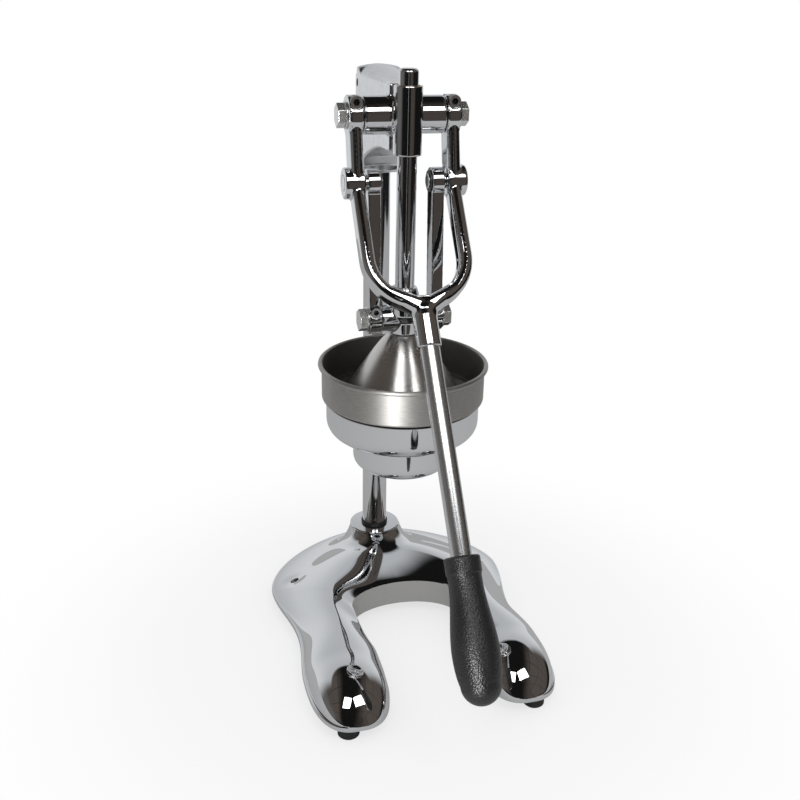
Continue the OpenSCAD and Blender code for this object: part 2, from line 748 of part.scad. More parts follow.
module strainer_cone() color([0.66, 0.65, 0.63]) place() translate([0, 0, sump_z + cup_t]) difference() {
    rotate_extrude() polygon([[cone_r, 0], [cone_r, cup_t], [cone_top_r, cone_h], [0, cone_h + cup_t / 2],
        [0, cone_h - cup_t / 2], [cone_top_r - cup_t / 2, cone_h - cup_t],
        [cone_r - 2 * cup_t, cup_t], [cone_r - 2 * cup_t, 0]]);
    for (row = [1 : cone_rows]) for (i = [0 : 11]) let (t = row / (cone_rows + 1))
        rotate([0, 0, 30 * i + 15 * row]) translate([mix(cone_r, cone_top_r, t), 0, cone_h * t - 8])
            cylinder(d = strainer_hole_d, h = 16, $fn = 24);
}

// Lever

shaft_tap = 18;

module cross_shaft() color([0.7, 0.7, 0.72]) place() difference() {
    x_cyl(-eye_out, eye_out, shaft_d, shaft_back, shaft_h);
    both_sides() x_cyl(eye_out - shaft_tap, eye_out + eps, hex_bolt_d + 2 * fixed_fit, shaft_back, shaft_h);
}

module shaft_washers() color([0.66, 0.66, 0.68]) place() both_sides()
    x_ring(eye_out, eye_out + washer_t, washer_d, hex_bolt_d + hole_play, shaft_back, shaft_h);

module shaft_bolts() color([0.72, 0.73, 0.75]) place() both_sides() {
    x_hex(eye_out + washer_t, eye_out + washer_t + hex_h, hex_af, shaft_back, shaft_h);
    x_cyl(eye_out - shaft_tap + 1, eye_out + washer_t, hex_bolt_d, shaft_back, shaft_h);
}

clamp_z = shaft_h + (shaft_d + clamp_screw_d) / 2 + 1;
clamp_chord = sqrt(pow(eye_d / 2, 2) - pow(clamp_z - shaft_h, 2));
clamp_head_y = shaft_back - clamp_chord - 2;
clamp_len = clamp_chord + 4;
slit_w = 1.6;

// One arm of the fork on the +X side
module fork_arm() {
    x_cyl(eye_in, eye_out, eye_d, shaft_back, shaft_h);
    translate([arm_x, shaft_back, shaft_h]) rotate([180 - crank_lean, 0, 0])
        linear_extrude(crank_r) stadium(arm_t, upper_arm_w);
    x_cyl(boss_in, pin_out, pin_boss_d, pin_y, pin_z);
    lever_frame() translate([arm_x, 0, 0]) linear_extrude(fork_run) stadium(arm_t, lower_arm_w);
}

module fork() color([0.82, 0.83, 0.85]) place() difference() {
    union() {
        both_sides() fork_arm();
        lever_frame() {
            translate([0, 0, fork_run]) rotate([90, 0, 0]) rotate_extrude(angle = 180)
                translate([arm_x, 0]) stadium(arm_t, lower_arm_w);
            translate([0, 0, socket_start]) rotate_extrude()
                polygon([[0, 0], [lower_arm_w / 2, 0], [lower_arm_w / 2 + 2, arm_t],
                         [tube_socket_d / 2, arm_t + 5], [tube_socket_d / 2, tube_socket_len - edge_r / 2],
                         [(tube_socket_d - edge_r) / 2, tube_socket_len], [0, tube_socket_len]]);
        }
    }
    x_cyl(-eye_out - eps, eye_out + eps, shaft_d + 2 * fixed_fit, shaft_back, shaft_h);
    x_cyl(-pin_out - eps, pin_out + eps, pin_d + 2 * fixed_fit, pin_y, pin_z);
    both_sides() {
        translate([eye_in - eps, shaft_back - slit_w / 2, shaft_h])
            cube([eye_t + 2 * eps, slit_w, eye_d / 2 + eps]);
        y_cyl(clamp_head_y - end_gap, clamp_head_y + cap_h(clamp_screw_d),
              cap_d(clamp_screw_d) + 2 * fixed_fit, eye_x, clamp_z);
        y_cyl(clamp_head_y, clamp_head_y + cap_h(clamp_screw_d) + clamp_len + 1,
              clamp_screw_d + 2 * fixed_fit, eye_x, clamp_z);
    }
    lever_frame() {
        translate([0, 0, tube_start]) cylinder(d = tube_d + 2 * fixed_fit, h = tube_above + eps);
        translate([0, 0, handle_pin_run]) rotate([0, 90, 0])
            cylinder(d = handle_pin_d + 2 * fixed_fit, h = tube_socket_d + 2, center = true);
    }
}

module clamp_screws() color([0.3, 0.3, 0.32]) place() both_sides()
    cap_screw(clamp_screw_d, clamp_head_y, clamp_len, eye_x, clamp_z);

clip_t = 1.2;
clip_gap = 0.12;
clip_groove = 0.8;
clip_rim = 2.5;
clip_out = link_gap_half - clip_gap;
clip_in = clip_out - clip_t;

module pivot_pins() color([0.72, 0.73, 0.75]) place() both_sides() difference() {
    x_cyl(link_gap_half - 2 * clip_t, pin_out, pin_d, pin_y, pin_z);
    x_ring(clip_in, clip_out, pin_d + end_gap, pin_d - 2 * clip_groove, pin_y, pin_z);
}

module pin_clips() color([0.4, 0.4, 0.42]) place() both_sides()
    x_ring(clip_in + fixed_fit, clip_out - fixed_fit, pin_d + 2 * clip_rim,
           pin_d - 2 * clip_groove + 2 * fixed_fit, pin_y, pin_z);

handle_pin_d = 4;
handle_pin_run = socket_end - 12;

module handle_tube() color([0.85, 0.86, 0.88]) place() lever_frame() difference() {
    translate([0, 0, tube_start]) cylinder(d = tube_d, h = tube_end - tube_start);
    translate([0, 0, tube_start - eps])
        cylinder(d = tube_d - 2 * tube_wall, h = tube_end - tube_start + 2 * eps);
    translate([0, 0, handle_pin_run]) rotate([0, 90, 0])
        cylinder(d = handle_pin_d + 2 * fixed_fit, h = tube_d + 2, center = true);
}

module handle_pin() color([0.5, 0.5, 0.52]) place() lever_frame() translate([0, 0, handle_pin_run])
    rotate([0, 90, 0]) cylinder(d = handle_pin_d, h = tube_socket_d - 0.6, center = true);

// Grip: collar, neck, swelling palm and a round end
function palm_r(t) = mix(grip_neck_d / 2, grip_d / 2, ease(min(1, t * 1.35)));
palm_start = grip_collar_len + 4;
palm_end = grip_len - grip_end_r;

module handle_grip() color([0.05, 0.05, 0.05]) place() lever_frame()
translate([0, 0, grip_start]) difference() {
    rotate_extrude() polygon([[0, 0], [grip_collar_d / 2 - 2, 0], [grip_collar_d / 2, 2],
        [grip_collar_d / 2, grip_collar_len], [grip_neck_d / 2, grip_collar_len + 1.5],
        for (i = [0 : 12]) let (t = i / 12)
            [mix(palm_r(t), grip_end_r, pow(t, 8)), mix(palm_start, palm_end, t)],
        for (i = [1 : 8]) [grip_end_r * cos(90 * i / 8), palm_end + grip_end_r * sin(90 * i / 8)]]);
    translate([0, 0, -eps]) cylinder(d = tube_d + 2 * fixed_fit, h = tube_end - grip_start + eps);
}

// Links

module link_outline() {
    translate([-link_w / 2, -link_len]) square([link_w, link_len]);
    circle(d = link_top_eye_d);
    translate([0, -link_len]) circle(d = link_low_eye_d);
}

link_clamp_up = (hex_bolt_d + link_screw_d) / 2 + 1;
link_clamp_chord = sqrt(pow(link_low_eye_d / 2, 2) - pow(link_clamp_up, 2));
link_clamp_z = cross_z + link_clamp_up;
link_head_y = -link_clamp_chord - 2;
link_clamp_len = link_clamp_chord + 3;

module link_bar() difference() {
    translate([link_gap_half, pin_y, pin_z]) rotate([-link_lean, 0, 0]) rotate([90, 0, 90])
        linear_extrude(link_t) link_outline();
    x_cyl(link_gap_half - eps, link_out + eps, pin_d + 2 * run_fit, pin_y, pin_z);
    x_cyl(link_gap_half - eps, link_out + eps, hex_bolt_d + 2 * fixed_fit, 0, cross_z);
    translate([link_gap_half - eps, -link_low_eye_d / 2 - eps, cross_z - slit_w / 2])
        cube([link_t + 2 * eps, link_low_eye_d / 2 + eps, slit_w]);
    y_cyl(link_head_y - end_gap, link_head_y + cap_h(link_screw_d),
          cap_d(link_screw_d) + 2 * fixed_fit, link_x, link_clamp_z);
    y_cyl(link_head_y, link_head_y + cap_h(link_screw_d) + link_clamp_len + 1,
          link_screw_d + 2 * fixed_fit, link_x, link_clamp_z);
}

module left_link() color([0.8, 0.81, 0.83]) place() mirror([1, 0, 0]) link_bar();

module right_link() color([0.8, 0.81, 0.83]) place() link_bar();

module link_screws() color([0.3, 0.3, 0.32]) place() both_sides()
    cap_screw(link_screw_d, link_head_y, link_clamp_len, link_x, link_clamp_z);

module link_washers() color([0.66, 0.66, 0.68]) place() both_sides()
    x_ring(link_out, link_out + washer_t, washer_d, hex_bolt_d + hole_play, 0, cross_z);

module link_bolts() color([0.72, 0.73, 0.75]) place() both_sides() {
    x_hex(link_out + washer_t, link_out + washer_t + hex_h, hex_af, 0, cross_z);
    x_cyl(link_gap_half + 0.2, link_out + washer_t, hex_bolt_d, 0, cross_z);
}

// Press rod, crosshead and bell

hub_swell = 2.5;
hub_wall = 3;
rod_foot_z = cross_z - 4;
rod_screw_z = hub_top_z - 12;
bell_screw_d = 8;
bell_screw_h = 4;
// Thickness of the bell where the screw clamps it
bell_top_t = 0.8 * bell_t;

module press_rod() color([0.85, 0.86, 0.88]) place() rotate_extrude()
    polygon([[0, rod_foot_z], [rod_d / 2, rod_foot_z], [rod_d / 2, rod_top_z - edge_r],
             [rod_d / 2 - edge_r, rod_top_z], [0, rod_top_z]]);

module crosshead() color([0.8, 0.81, 0.83]) place() difference() {
    union() {
        rotate_extrude() polygon([[0, neck_z], [neck_d / 2, neck_z], [neck_d / 2, cross_z - 2],
            [neck_d / 2 + hub_swell, cross_z + 4], [neck_d / 2 + hub_swell, hub_top_z - 16],
            [rod_d / 2 + hub_wall, hub_top_z - 2], [rod_d / 2 + hub_wall - edge_r, hub_top_z],
            [0, hub_top_z]]);
        x_cyl(-crossbar_half, crossbar_half, crossbar_d, 0, cross_z);
    }
    translate([0, 0, rod_foot_z]) cylinder(d = rod_d + 2 * fixed_fit, h = hub_top_z - rod_foot_z + eps);
    both_sides() x_cyl(rod_d / 2 + hub_wall, crossbar_half + eps, hex_bolt_d + 2 * run_fit, 0, cross_z);
    translate([0, 0, neck_z - eps]) cylinder(d = bell_screw_d + 2 * fixed_fit, h = rod_foot_z - neck_z);
    y_cyl(rod_d / 2 - edge_r, neck_d, link_screw_d + 2 * fixed_fit, 0, rod_screw_z);
}

module rod_screw() color([0.35, 0.35, 0.37]) place()
    grub_screw(link_screw_d, neck_d / 2 + edge_r / 2, rod_d / 2 + grub_gap, rod_screw_z);

bell_power = 1.18;
bell_steps = 14;

// Outside of the bell from the neck to its edge: the share of the drop grows with the radius
function bell_side(g) = [
    for (i = [0 : bell_steps]) let (t = i / bell_steps)
        [mix(neck_d / 2, bell_d / 2, t) - g, neck_z - g * 0.8 - (bell_h - g * 0.8) * pow(t, bell_power)]];

module press_bell() color([0.78, 0.78, 0.78]) place() difference() {
    union() {
        rotate_extrude($fn = 128) polygon(concat([[0, neck_z]], bell_side(0), backwards(bell_side(bell_t)),
            [[0, neck_z - bell_top_t]]));
        translate([0, 0, bell_edge_z + bell_t]) rotate_extrude($fn = 128)
            translate([bell_d / 2 - bell_t / 2, 0]) circle(r = bell_t, $fn = 24);
    }
    translate([0, 0, neck_z - bell_top_t - eps])
        cylinder(d = bell_screw_d + hole_play, h = bell_top_t + 2 * eps);
}

module bell_screw() color([0.6, 0.6, 0.62]) place() translate([0, 0, neck_z - bell_top_t]) difference() {
    union() {
        translate([0, 0, -bell_screw_h]) cylinder(d = cap_d(bell_screw_d), h = bell_screw_h);
        cylinder(d = bell_screw_d, h = rod_foot_z - neck_z - end_gap / 2);
    }
    translate([0, 0, -bell_screw_h - eps])
        cylinder(d = key_af(bell_screw_d), h = bell_screw_h / 2 + eps, $fn = 6);
}

base_casting();
rubber_feet();
foot_screws();
column();
column_collar();
column_washer();
column_bolt();
head_casting();
head_screw();
guide_bushes();
shaft_bushes();
cup_holder();
holder_screw();
strainer_cup();
strainer_cone();
cross_shaft();
fork();
clamp_screws();
shaft_bolts();
shaft_washers();
pivot_pins();
pin_clips();
handle_tube();
handle_pin();
handle_grip();
left_link();
right_link();
link_bolts();
link_washers();
link_screws();
press_rod();
crosshead();
rod_screw();
press_bell();
bell_screw();
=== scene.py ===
"""Looks of a lever citrus press: polished castings, turned bars, spun steel, a grained grip and a studio."""

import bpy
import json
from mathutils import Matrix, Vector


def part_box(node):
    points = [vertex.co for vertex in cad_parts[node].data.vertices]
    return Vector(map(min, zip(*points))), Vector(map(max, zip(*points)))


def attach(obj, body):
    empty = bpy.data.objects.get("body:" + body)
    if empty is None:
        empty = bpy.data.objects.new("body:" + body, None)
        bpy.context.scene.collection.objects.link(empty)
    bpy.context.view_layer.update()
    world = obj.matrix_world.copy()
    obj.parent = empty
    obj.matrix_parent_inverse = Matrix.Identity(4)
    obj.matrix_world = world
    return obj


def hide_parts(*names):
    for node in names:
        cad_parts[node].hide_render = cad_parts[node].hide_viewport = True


bl_info = {
    "name": "Lever Citrus Press",
    "version": (1, 0, 0),
    "blender": (4, 5, 0),
    "location": "3D View > Sidebar > Citrus Press",
    "description": "Builds the visible pieces of a lever citrus press round its CAD frame",
    "category": "Object",
}

import json
from collections import namedtuple
from math import copysign, cos, pi, radians, sin, sqrt

import bmesh
import bpy
from bpy.types import Operator, Panel, PropertyGroup
from mathutils import Matrix, Vector

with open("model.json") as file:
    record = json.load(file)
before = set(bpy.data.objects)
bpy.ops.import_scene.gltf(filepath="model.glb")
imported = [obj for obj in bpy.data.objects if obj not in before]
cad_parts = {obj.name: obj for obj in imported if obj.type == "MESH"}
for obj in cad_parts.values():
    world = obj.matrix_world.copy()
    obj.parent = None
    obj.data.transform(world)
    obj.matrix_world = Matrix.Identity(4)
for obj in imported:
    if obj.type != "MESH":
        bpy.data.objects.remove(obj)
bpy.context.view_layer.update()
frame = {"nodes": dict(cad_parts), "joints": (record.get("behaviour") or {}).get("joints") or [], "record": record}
MM = 0.001


# Places taken from the frame

def middle(node):
    """Middle of a CAD node's box."""
    low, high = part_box(node)
    return (low + high) / 2


def joint_place(name):
    """Point on the axis of a joint."""
    return Vector(next(j["pos_m"] for j in frame["joints"] if j["name"] == name))


PRESS_Y = middle("press_rod").y
COLUMN_Y = middle("column").y
SHAFT = joint_place("lever_swing")
PIN = joint_place("link_swing")


# Sizes and colours that a user would change

def length(name, description, default):
    """A length property in metres."""
    return bpy.props.FloatProperty(name=name, description=description, default=default, unit="LENGTH",
                                   precision=5)


def angle(name, description, degrees):
    """An angle property."""
    return bpy.props.FloatProperty(name=name, description=description, default=radians(degrees),
                                   subtype="ANGLE")


def colour(name, description, default):
    """A colour property."""
    return bpy.props.FloatVectorProperty(name=name, description=description, default=default,
                                         subtype="COLOR", min=0, max=1)


def number(name, description, default):
    """A plain number property."""
    return bpy.props.FloatProperty(name=name, description=description, default=default)


class BaseSizes(PropertyGroup):
    """Sizes of the horseshoe base casting."""
    waist_half: length("Waist half", "Half of the width at the waist of the legs", 0.1015)
    toe_half: length("Toe half", "Half of the width over the toes", 0.107)
    toe_gap_half: length("Toe gap half", "Half of the gap between the toes", 0.039)
    arch_half: length("Arch half", "Half of the width of the arch", 0.050)
    arch_back: length("Arch back", "How far the arch reaches behind the press axis", 0.0045)
    arch_deep: length("Arch depth", "How far the arch's round end reaches forward", 0.029)
    toe_front: length("Toe front", "How far the toes reach in front of the press axis", 0.1595)
    toe_start: length("Toe start", "Where the round of the toes starts, in front of the press axis", 0.092)
    wing_forward: length("Wing place", "Widest place of the wings, in front of the column axis", 0.052)
    waist_front: length("Waist place", "Waist of the legs, in front of the press axis", 0.033)
    arch_wall_h: length("Arch wall", "Height of the top edge of the machined arch wall", 0.0355)
    arch_ridge_h: length("Arch top", "Height of the casting between the arch and the boss", 0.0395)
    leg_ridge_h: length("Leg ridge", "Height of the ridge where the legs leave the arch", 0.0415)
    waist_h: length("Waist height", "Height of the ridge at the waist", 0.0415)
    toe_h: length("Toe height", "Height of the toes", 0.0435)
    ball_front: length("Toe crest", "Highest place of the toes, in front of the press axis", 0.115)
    edge_t: length("Edge", "Thickness of the outer edge", 0.0045)
    boss_d: length("Boss", "Diameter of the column boss at its top", 0.0495)


class HeadSizes(PropertyGroup):
    """Sizes of the head casting's arm."""
    arm_half: length("Arm half", "Half of the thickness of the arm at the barrel", 0.011)
    socket_r: length("Socket", "Radius of the socket on the column", 0.019)
    sleeve_above: length("Sleeve top", "Top of the guide sleeve above the cross shaft", 0.024)


class LeverSizes(PropertyGroup):
    """Sizes of fork, handle tube and grip."""
    handle_lean: angle("Handle lean", "Forward lean of the handle at rest", 36.5)
    fork_run: length("Fork run", "Straight length of the lower arms from the middle pins", 0.0652)
    fork_half: length("Fork half", "From the middle plane to the middle of an arm", 0.03975)
    arm_t: length("Arm", "Thickness of the fork's arms", 0.011)
    arm_w: length("Arm width", "Width of the fork's lower arms", 0.018)
    socket_d: length("Socket", "Diameter of the handle socket", 0.0195)
    bridge_turn: angle("Bridge", "Half of the stretch where the arms join above the socket", 15)
    gusset_start: length("Gusset start", "Upper end of the gussets, below the fork's inside", 0.006)
    gusset_end: length("Gusset end", "Lower end of the gussets, below the fork's inside", 0.013)
    gusset_turn: angle("Gusset turn", "Where the gussets leave the arms, round from the socket", 45)
    tube_d: length("Tube", "Diameter of the handle tube", 0.016)
    tube_start: length("Tube start", "Upper end of the tube, down the lever from the middle pins", 0.11545)
    grip_start: length("Grip start", "Upper end of the grip, down the lever from the middle pins", 0.30145)
    grip_len: length("Grip length", "Length of the grip", 0.107)
    grip_d: length("Grip", "Largest diameter of the grip", 0.036)
    grip_neck_d: length("Grip neck", "Diameter of the grip's neck", 0.0256)
    grip_collar_d: length("Grip collar", "Diameter of the grip's collar", 0.0274)
    grip_collar_len: length("Grip collar length", "Length of the grip's collar", 0.013)
    grip_end_r: length("Grip end", "Radius of the grip's round end", 0.0151)


class CupSizes(PropertyGroup):
    """Sizes of the spun steel parts."""
    cup_d: length("Cup wall", "Diameter of the strainer cup's upper wall", 0.140)
    rim_bead_d: length("Rim bead", "Diameter of the rolled bead on the rim", 0.004)
    sump_r: length("Sump", "Outside radius of the cup below its step", 0.062)
    cup_sump: length("Sump depth", "Depth of the cup below its step", 0.0155)
    cup_t: length("Sheet", "Thickness of the strainer's sheet", 0.0012)
    seat_r: length("Cone seat", "Radius of the opening under the cone", 0.0445)
    neck_d: length("Bell neck", "Diameter of the bell at its neck", 0.024)
    bell_d: length("Bell", "Diameter of the bell at its bottom", 0.108)
    bell_t: length("Bell sheet", "Thickness of the bell's sheet", 0.0015)
    bell_power: number("Bell curve", "Power of the bell's outline", 1.18)


class Finishes(PropertyGroup):
    """Colours of the materials and the floor."""
    chrome: colour("Chrome", "Chrome plate", (0.86, 0.87, 0.885))
    satin: colour("Satin steel", "Brushed stainless sheet", (0.50, 0.488, 0.468))
    polished: colour("Polished steel", "Polished spun stainless sheet", (0.74, 0.725, 0.70))
    machined: colour("Machined face", "Milled face of the arch", (0.60, 0.597, 0.588))
    zinc: colour("Zinc", "Bright zinc plate", (0.88, 0.88, 0.87))
    oxide: colour("Dark oxide", "Dark screws", (0.085, 0.085, 0.09))
    bronze: colour("Bronze", "Sintered bronze", (0.56, 0.37, 0.16))
    grip: colour("Grip", "Black plastic", (0.009, 0.009, 0.0094))
    rubber: colour("Rubber", "Black rubber", (0.016, 0.016, 0.017))
    paper: colour("Paper", "Studio floor", (0.86, 0.86, 0.86))


class CameraSizes(PropertyGroup):
    """Place and turn of the camera."""
    place: bpy.props.FloatVectorProperty(name="Place", description="Where the camera stands",
                                         default=(-0.21023, -0.71213, 0.55718), subtype="TRANSLATION",
                                         unit="LENGTH")
    yaw: angle("Yaw", "Turn to the left of the Y axis", -15.28)
    pitch: angle("Pitch", "Downward tilt", 22.79)
    roll: angle("Roll", "Turn about the line of sight", -1.06)
    lens: number("Lens", "Focal length in millimetres on a 36 mm sensor", 44.2)


# Shader graphs

class Val:
    """A shader socket that takes part in Python expressions; each operation adds a Math node."""

    def __init__(self, graph, socket):
        self.graph = graph
        self.socket = socket

    def math(self, operation, *others):
        """An operation on this value and others."""
        return self.graph.math(operation, self, *others)

    def __add__(self, other):
        return self.math("ADD", other)

    def __sub__(self, other):
        return self.math("SUBTRACT", other)

    def __rsub__(self, other):
        return self.graph.math("SUBTRACT", other, self)

    def __mul__(self, other):
        return self.math("MULTIPLY", other)

    def __truediv__(self, other):
        return self.math("DIVIDE", other)

    def step(self, low, high):
        """0 at low and 1 at high, with a soft ramp between; low may be the larger one."""
        values = {"Value": self, "From Min": low, "From Max": high}
        return self.graph.node("ShaderNodeMapRange", values, {"interpolation_type": "SMOOTHSTEP"})

    def output(self, name):
        """Another output of the node that this value comes from."""
        return Val(self.graph, self.socket.node.outputs[name])


class Graph:
    """The node tree of one material or world."""

    def __init__(self, tree):
        self.tree = tree
        self.tree.nodes.clear()

    def node(self, kind, inputs=None, settings=None, output=0):
        """A new node: its settings first, then the values or links of its sockets; gives one output."""
        made = self.tree.nodes.new(kind)
        for key, value in (settings or {}).items():
            setattr(made, key, value)
        for key, value in (inputs or {}).items():
            if isinstance(value, Val):
                self.tree.links.new(value.socket, made.inputs[key])
            else:
                made.inputs[key].default_value = value
        return Val(self, made.outputs[output]) if made.outputs else None

    def math(self, operation, *values):
        """A Math node on values or numbers."""
        return self.node("ShaderNodeMath", dict(enumerate(values)), {"operation": operation})

    def coords(self):
        """Object coordinates of the surface, in metres."""
        return self.node("ShaderNodeTexCoord", output="Object")

    def split(self, vector):
        """The three parts of a vector."""
        x = self.node("ShaderNodeSeparateXYZ", {0: vector})
        return x, x.output("Y"), x.output("Z")

    def noise(self, vector, scale, detail, roughness, spread=None):
        """Noise on a vector that may be stretched first."""
        if spread:
            vector = self.node("ShaderNodeMapping", {"Vector": vector, "Scale": spread})
        return self.node("ShaderNodeTexNoise",
                         {"Vector": vector, "Scale": scale, "Detail": detail, "Roughness": roughness})

    def blend(self, factor, first, second):
        """A colour between two colours."""
        first, second = [c if isinstance(c, Val) else (*c, 1) for c in (first, second)]
        return self.node("ShaderNodeMix", {0: factor, 6: first, 7: second}, {"data_type": "RGBA"}, 2)

    def bump(self, height, strength, distance):
        """A bumped normal."""
        return self.node("ShaderNodeBump", {"Strength": strength, "Distance": distance, "Height": height})


# Materials

DULL_FROM = 22 * MM
DULL_TO = 30 * MM
ARCH_MARGIN = 4 * MM
ARCH_FADE = 4 * MM
ARCH_END_FADE = 2 * MM
MILLED_FROM = 85 * MM
MILLED_FULL = 55 * MM
# Painted shadow on the holder's rim under the strainer's step: where the dark band starts, where it is full, and
# its colour.
RIM_SHADOW_START = 3 * MM
RIM_SHADOW_FULL = 2 * MM
RIM_SHADOW = (0.01, 0.01, 0.01)
BRUSHING_STRETCH = 0.006
SCREW_FACE = 0.2 * MM
SCREW_SOCKET = 0.5 * MM


def look_name(finish):
    """Name of the material for a finish; the CAD's own materials bear the plain names."""
    return finish + "_look"


def finishes():
    """The colours that a user would change."""
    return bpy.context.scene.press_finishes


def material(finish, tint):
    """The graph of a new material, its coordinates and one of the colours."""
    made = bpy.data.materials.new(look_name(finish))
    made.use_nodes = True
    g = Graph(made.node_tree)
    return g, g.coords(), getattr(finishes(), tint)


def surface(graph, **sockets):
    """The Principled shader that ends a material."""
    names = {key.replace("_", " ").title().replace("Ior", "IOR"): value for key, value in sockets.items()}
    shader = graph.node("ShaderNodeBsdfPrincipled", names)
    graph.node("ShaderNodeOutputMaterial", {"Surface": shader})


def scaled(tint, share):
    """A lighter or darker tint."""
    return [c * share for c in tint]


def casting_polish(g, at, wave_scale=26, haze_scale=140):
    """Slow waves that a casting keeps under its plate, the haze that polishing leaves, and dull spots."""
    haze = g.noise(at, haze_scale, 4.0, 0.6)
    return g.noise(at, wave_scale, 1.0, 0.4), haze, haze.step(0.35, 0.8)


def chrome_casting():
    """Hand polished chrome plate: a mirror with the slow waves of the casting and a little haze."""
    g, at, tint = material("chrome_casting", "chrome")
    waves, haze, spots = casting_polish(g, at)
    specks = g.noise(at, 1400, 2.0, 0.5).step(0.66, 0.74)
    surface(g, base_color=g.blend(haze.step(0.3, 0.9), tint, scaled(tint, 0.9)), metallic=1.0,
            roughness=spots * 0.03 + specks * 0.08 + 0.025, normal=g.bump(waves, 0.5, 0.0006))


def chrome_head():
    """The head's chrome plate: a mirror on the turned parts, less polished on the arm."""
    g, at, tint = material("chrome_head", "chrome")
    waves, haze, spots = casting_polish(g, at)
    dull = g.split(at)[1].step(PRESS_Y + DULL_FROM, PRESS_Y + DULL_TO)
    surface(g, base_color=g.blend(haze.step(0.3, 0.9), tint, scaled(tint, 0.9)), metallic=1.0,
            roughness=spots * 0.03 + dull * 0.2 + 0.03, normal=g.bump(waves, 0.4, 0.0006))


def chrome_base():
    """The base's chrome plate, with the machined satin face inside the arch."""
    g, at, tint = material("chrome_base", "chrome")
    s = bpy.context.scene.press_base
    x, y, _ = g.split(at)
    _, _, up = g.split(g.node("ShaderNodeTexCoord", output="Normal"))
    waves, _, spots = casting_polish(g, at, 17, 120)
    side = s.arch_half + ARCH_MARGIN
    end = PRESS_Y + s.arch_back + ARCH_MARGIN
    inside = x.math("ABSOLUTE").step(side + ARCH_FADE, side)
    behind = y.step(PRESS_Y - MILLED_FROM, PRESS_Y - MILLED_FULL)
    in_front = y.step(end + ARCH_END_FADE, end)
    upright = up.math("ABSOLUTE").step(0.42, 0.34)
    machined = inside * behind * in_front * upright
    lines = g.noise(at, 900, 2.0, 0.6, (0.25, 0.25, 3))
    polish = spots * 0.025 + 0.022
    surface(g, base_color=g.blend(machined, tint, finishes().machined), metallic=1 - machined * 0.4,
            roughness=polish * (1 - machined) + machined * (lines * 0.12 + 0.30),
            normal=g.bump(waves * (1 - machined) + lines * machined * 0.05, 0.5, 0.0008))


def chrome_holder():
    """The cup holder's chrome plate, with a painted shadow line on its rim under the strainer's step."""
    g, at, tint = material("chrome_holder", "chrome")
    waves, _, spots = casting_polish(g, at)
    rim_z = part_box("strainer_cup")[0].z + bpy.context.scene.press_cup.cup_sump
    # Painted shadow: a dark band on the rim just under the strainer's step, standing in for the shade in the gap
    # between them.
    painted_rim_shadow = g.split(at)[2].step(rim_z - RIM_SHADOW_START, rim_z - RIM_SHADOW_FULL)
    surface(g, base_color=g.blend(painted_rim_shadow * 0.93, tint, RIM_SHADOW), metallic=1.0,
            roughness=spots * 0.03 + painted_rim_shadow * 0.2 + 0.03, normal=g.bump(waves, 0.5, 0.0004))


def chrome_bar():
    """Ground and chromed round bar: a mirror with faint lines round it."""
    g, at, tint = material("chrome_bar", "chrome")
    lines = g.noise(at, 700, 3.0, 0.6, (0.02, 0.02, 1))
    haze = g.noise(at, 90, 3.0, 0.5)
    surface(g, base_color=g.blend(haze, tint, scaled(tint, 0.93)), metallic=1.0,
            roughness=haze * 0.04 + lines * 0.03 + 0.05, normal=g.bump(lines, 0.03, 0.00005))


def chrome_tube():
    """Drawn and chromed tube: a soft mirror with fine lines along it."""
    g, at, tint = material("chrome_tube", "chrome")
    lines = g.noise(at, 1300, 2.0, 0.6, (1, 0.02, 0.02))
    haze = g.noise(at, 90, 3.0, 0.5)
    surface(g, base_color=g.blend(lines, scaled(tint, 0.86), tint), metallic=1.0,
            roughness=haze * 0.05 + lines * 0.06 + 0.21, normal=g.bump(lines, 0.4, 0.00005))


def about_press(g, at):
    """Distance from the press axis, turn about it, and height."""
    x, y, z = g.split(at)
    y = y - PRESS_Y
    return (x * x + y * y).math("SQRT"), y.math("ARCTAN2", x), z


def round_brushing(g, radius, turn, z):
    """Fine and broad lines that run round the press axis."""
    along = g.node("ShaderNodeCombineXYZ", {0: turn * BRUSHING_STRETCH, 1: radius, 2: z})
    return g.noise(along, 1500, 2.0, 0.6), g.noise(along, 300, 2.0, 0.6)


def satin_steel():
    """Stainless sheet brushed round the axis, with painted shade darkening the inside of the cup."""
    g, at, tint = material("satin_steel", "satin")
    radius, turn, z = about_press(g, at)
    fine, broad = round_brushing(g, radius, turn, z)
    stain = g.noise(at, 34, 3.0, 0.55)
    shade = g.blend(fine.step(0.25, 0.8), scaled(tint, 0.86), scaled(tint, 1.1))
    shade = g.blend(stain.step(0.5, 0.85) * 0.35, shade, scaled(tint, 0.72))
    cup = bpy.context.scene.press_cup
    # Painted shade: the whole inner surface of the cup is darkened, standing in for the shade inside it.
    inside = radius.step(cup.cup_d / 2 - cup.cup_t * 0.3, cup.cup_d / 2 - cup.cup_t * 0.7)
    shade = g.blend(inside, shade, scaled(tint, 0.45))
    surface(g, base_color=shade, metallic=1.0, roughness=fine * 0.08 + broad * 0.06 + 0.42, anisotropic=0.6,
            anisotropic_rotation=0.25, normal=g.bump(fine + broad * 0.5, 1.0, 0.00006))


def polished_steel():
    """Spun stainless sheet, polished, with soft rings from the spinning tool."""
    g, at, tint = material("polished_steel", "polished")
    fine, broad = round_brushing(g, *about_press(g, at))
    smear = g.noise(at, 60, 4.0, 0.6)
    surface(g, base_color=g.blend(fine.step(0.3, 0.8), scaled(tint, 0.93), tint), metallic=1.0,
            roughness=smear.step(0.35, 0.8) * 0.08 + fine * 0.06 + 0.24, anisotropic=0.7,
            anisotropic_rotation=0.25, normal=g.bump(broad + fine, 1.0, 0.00003))


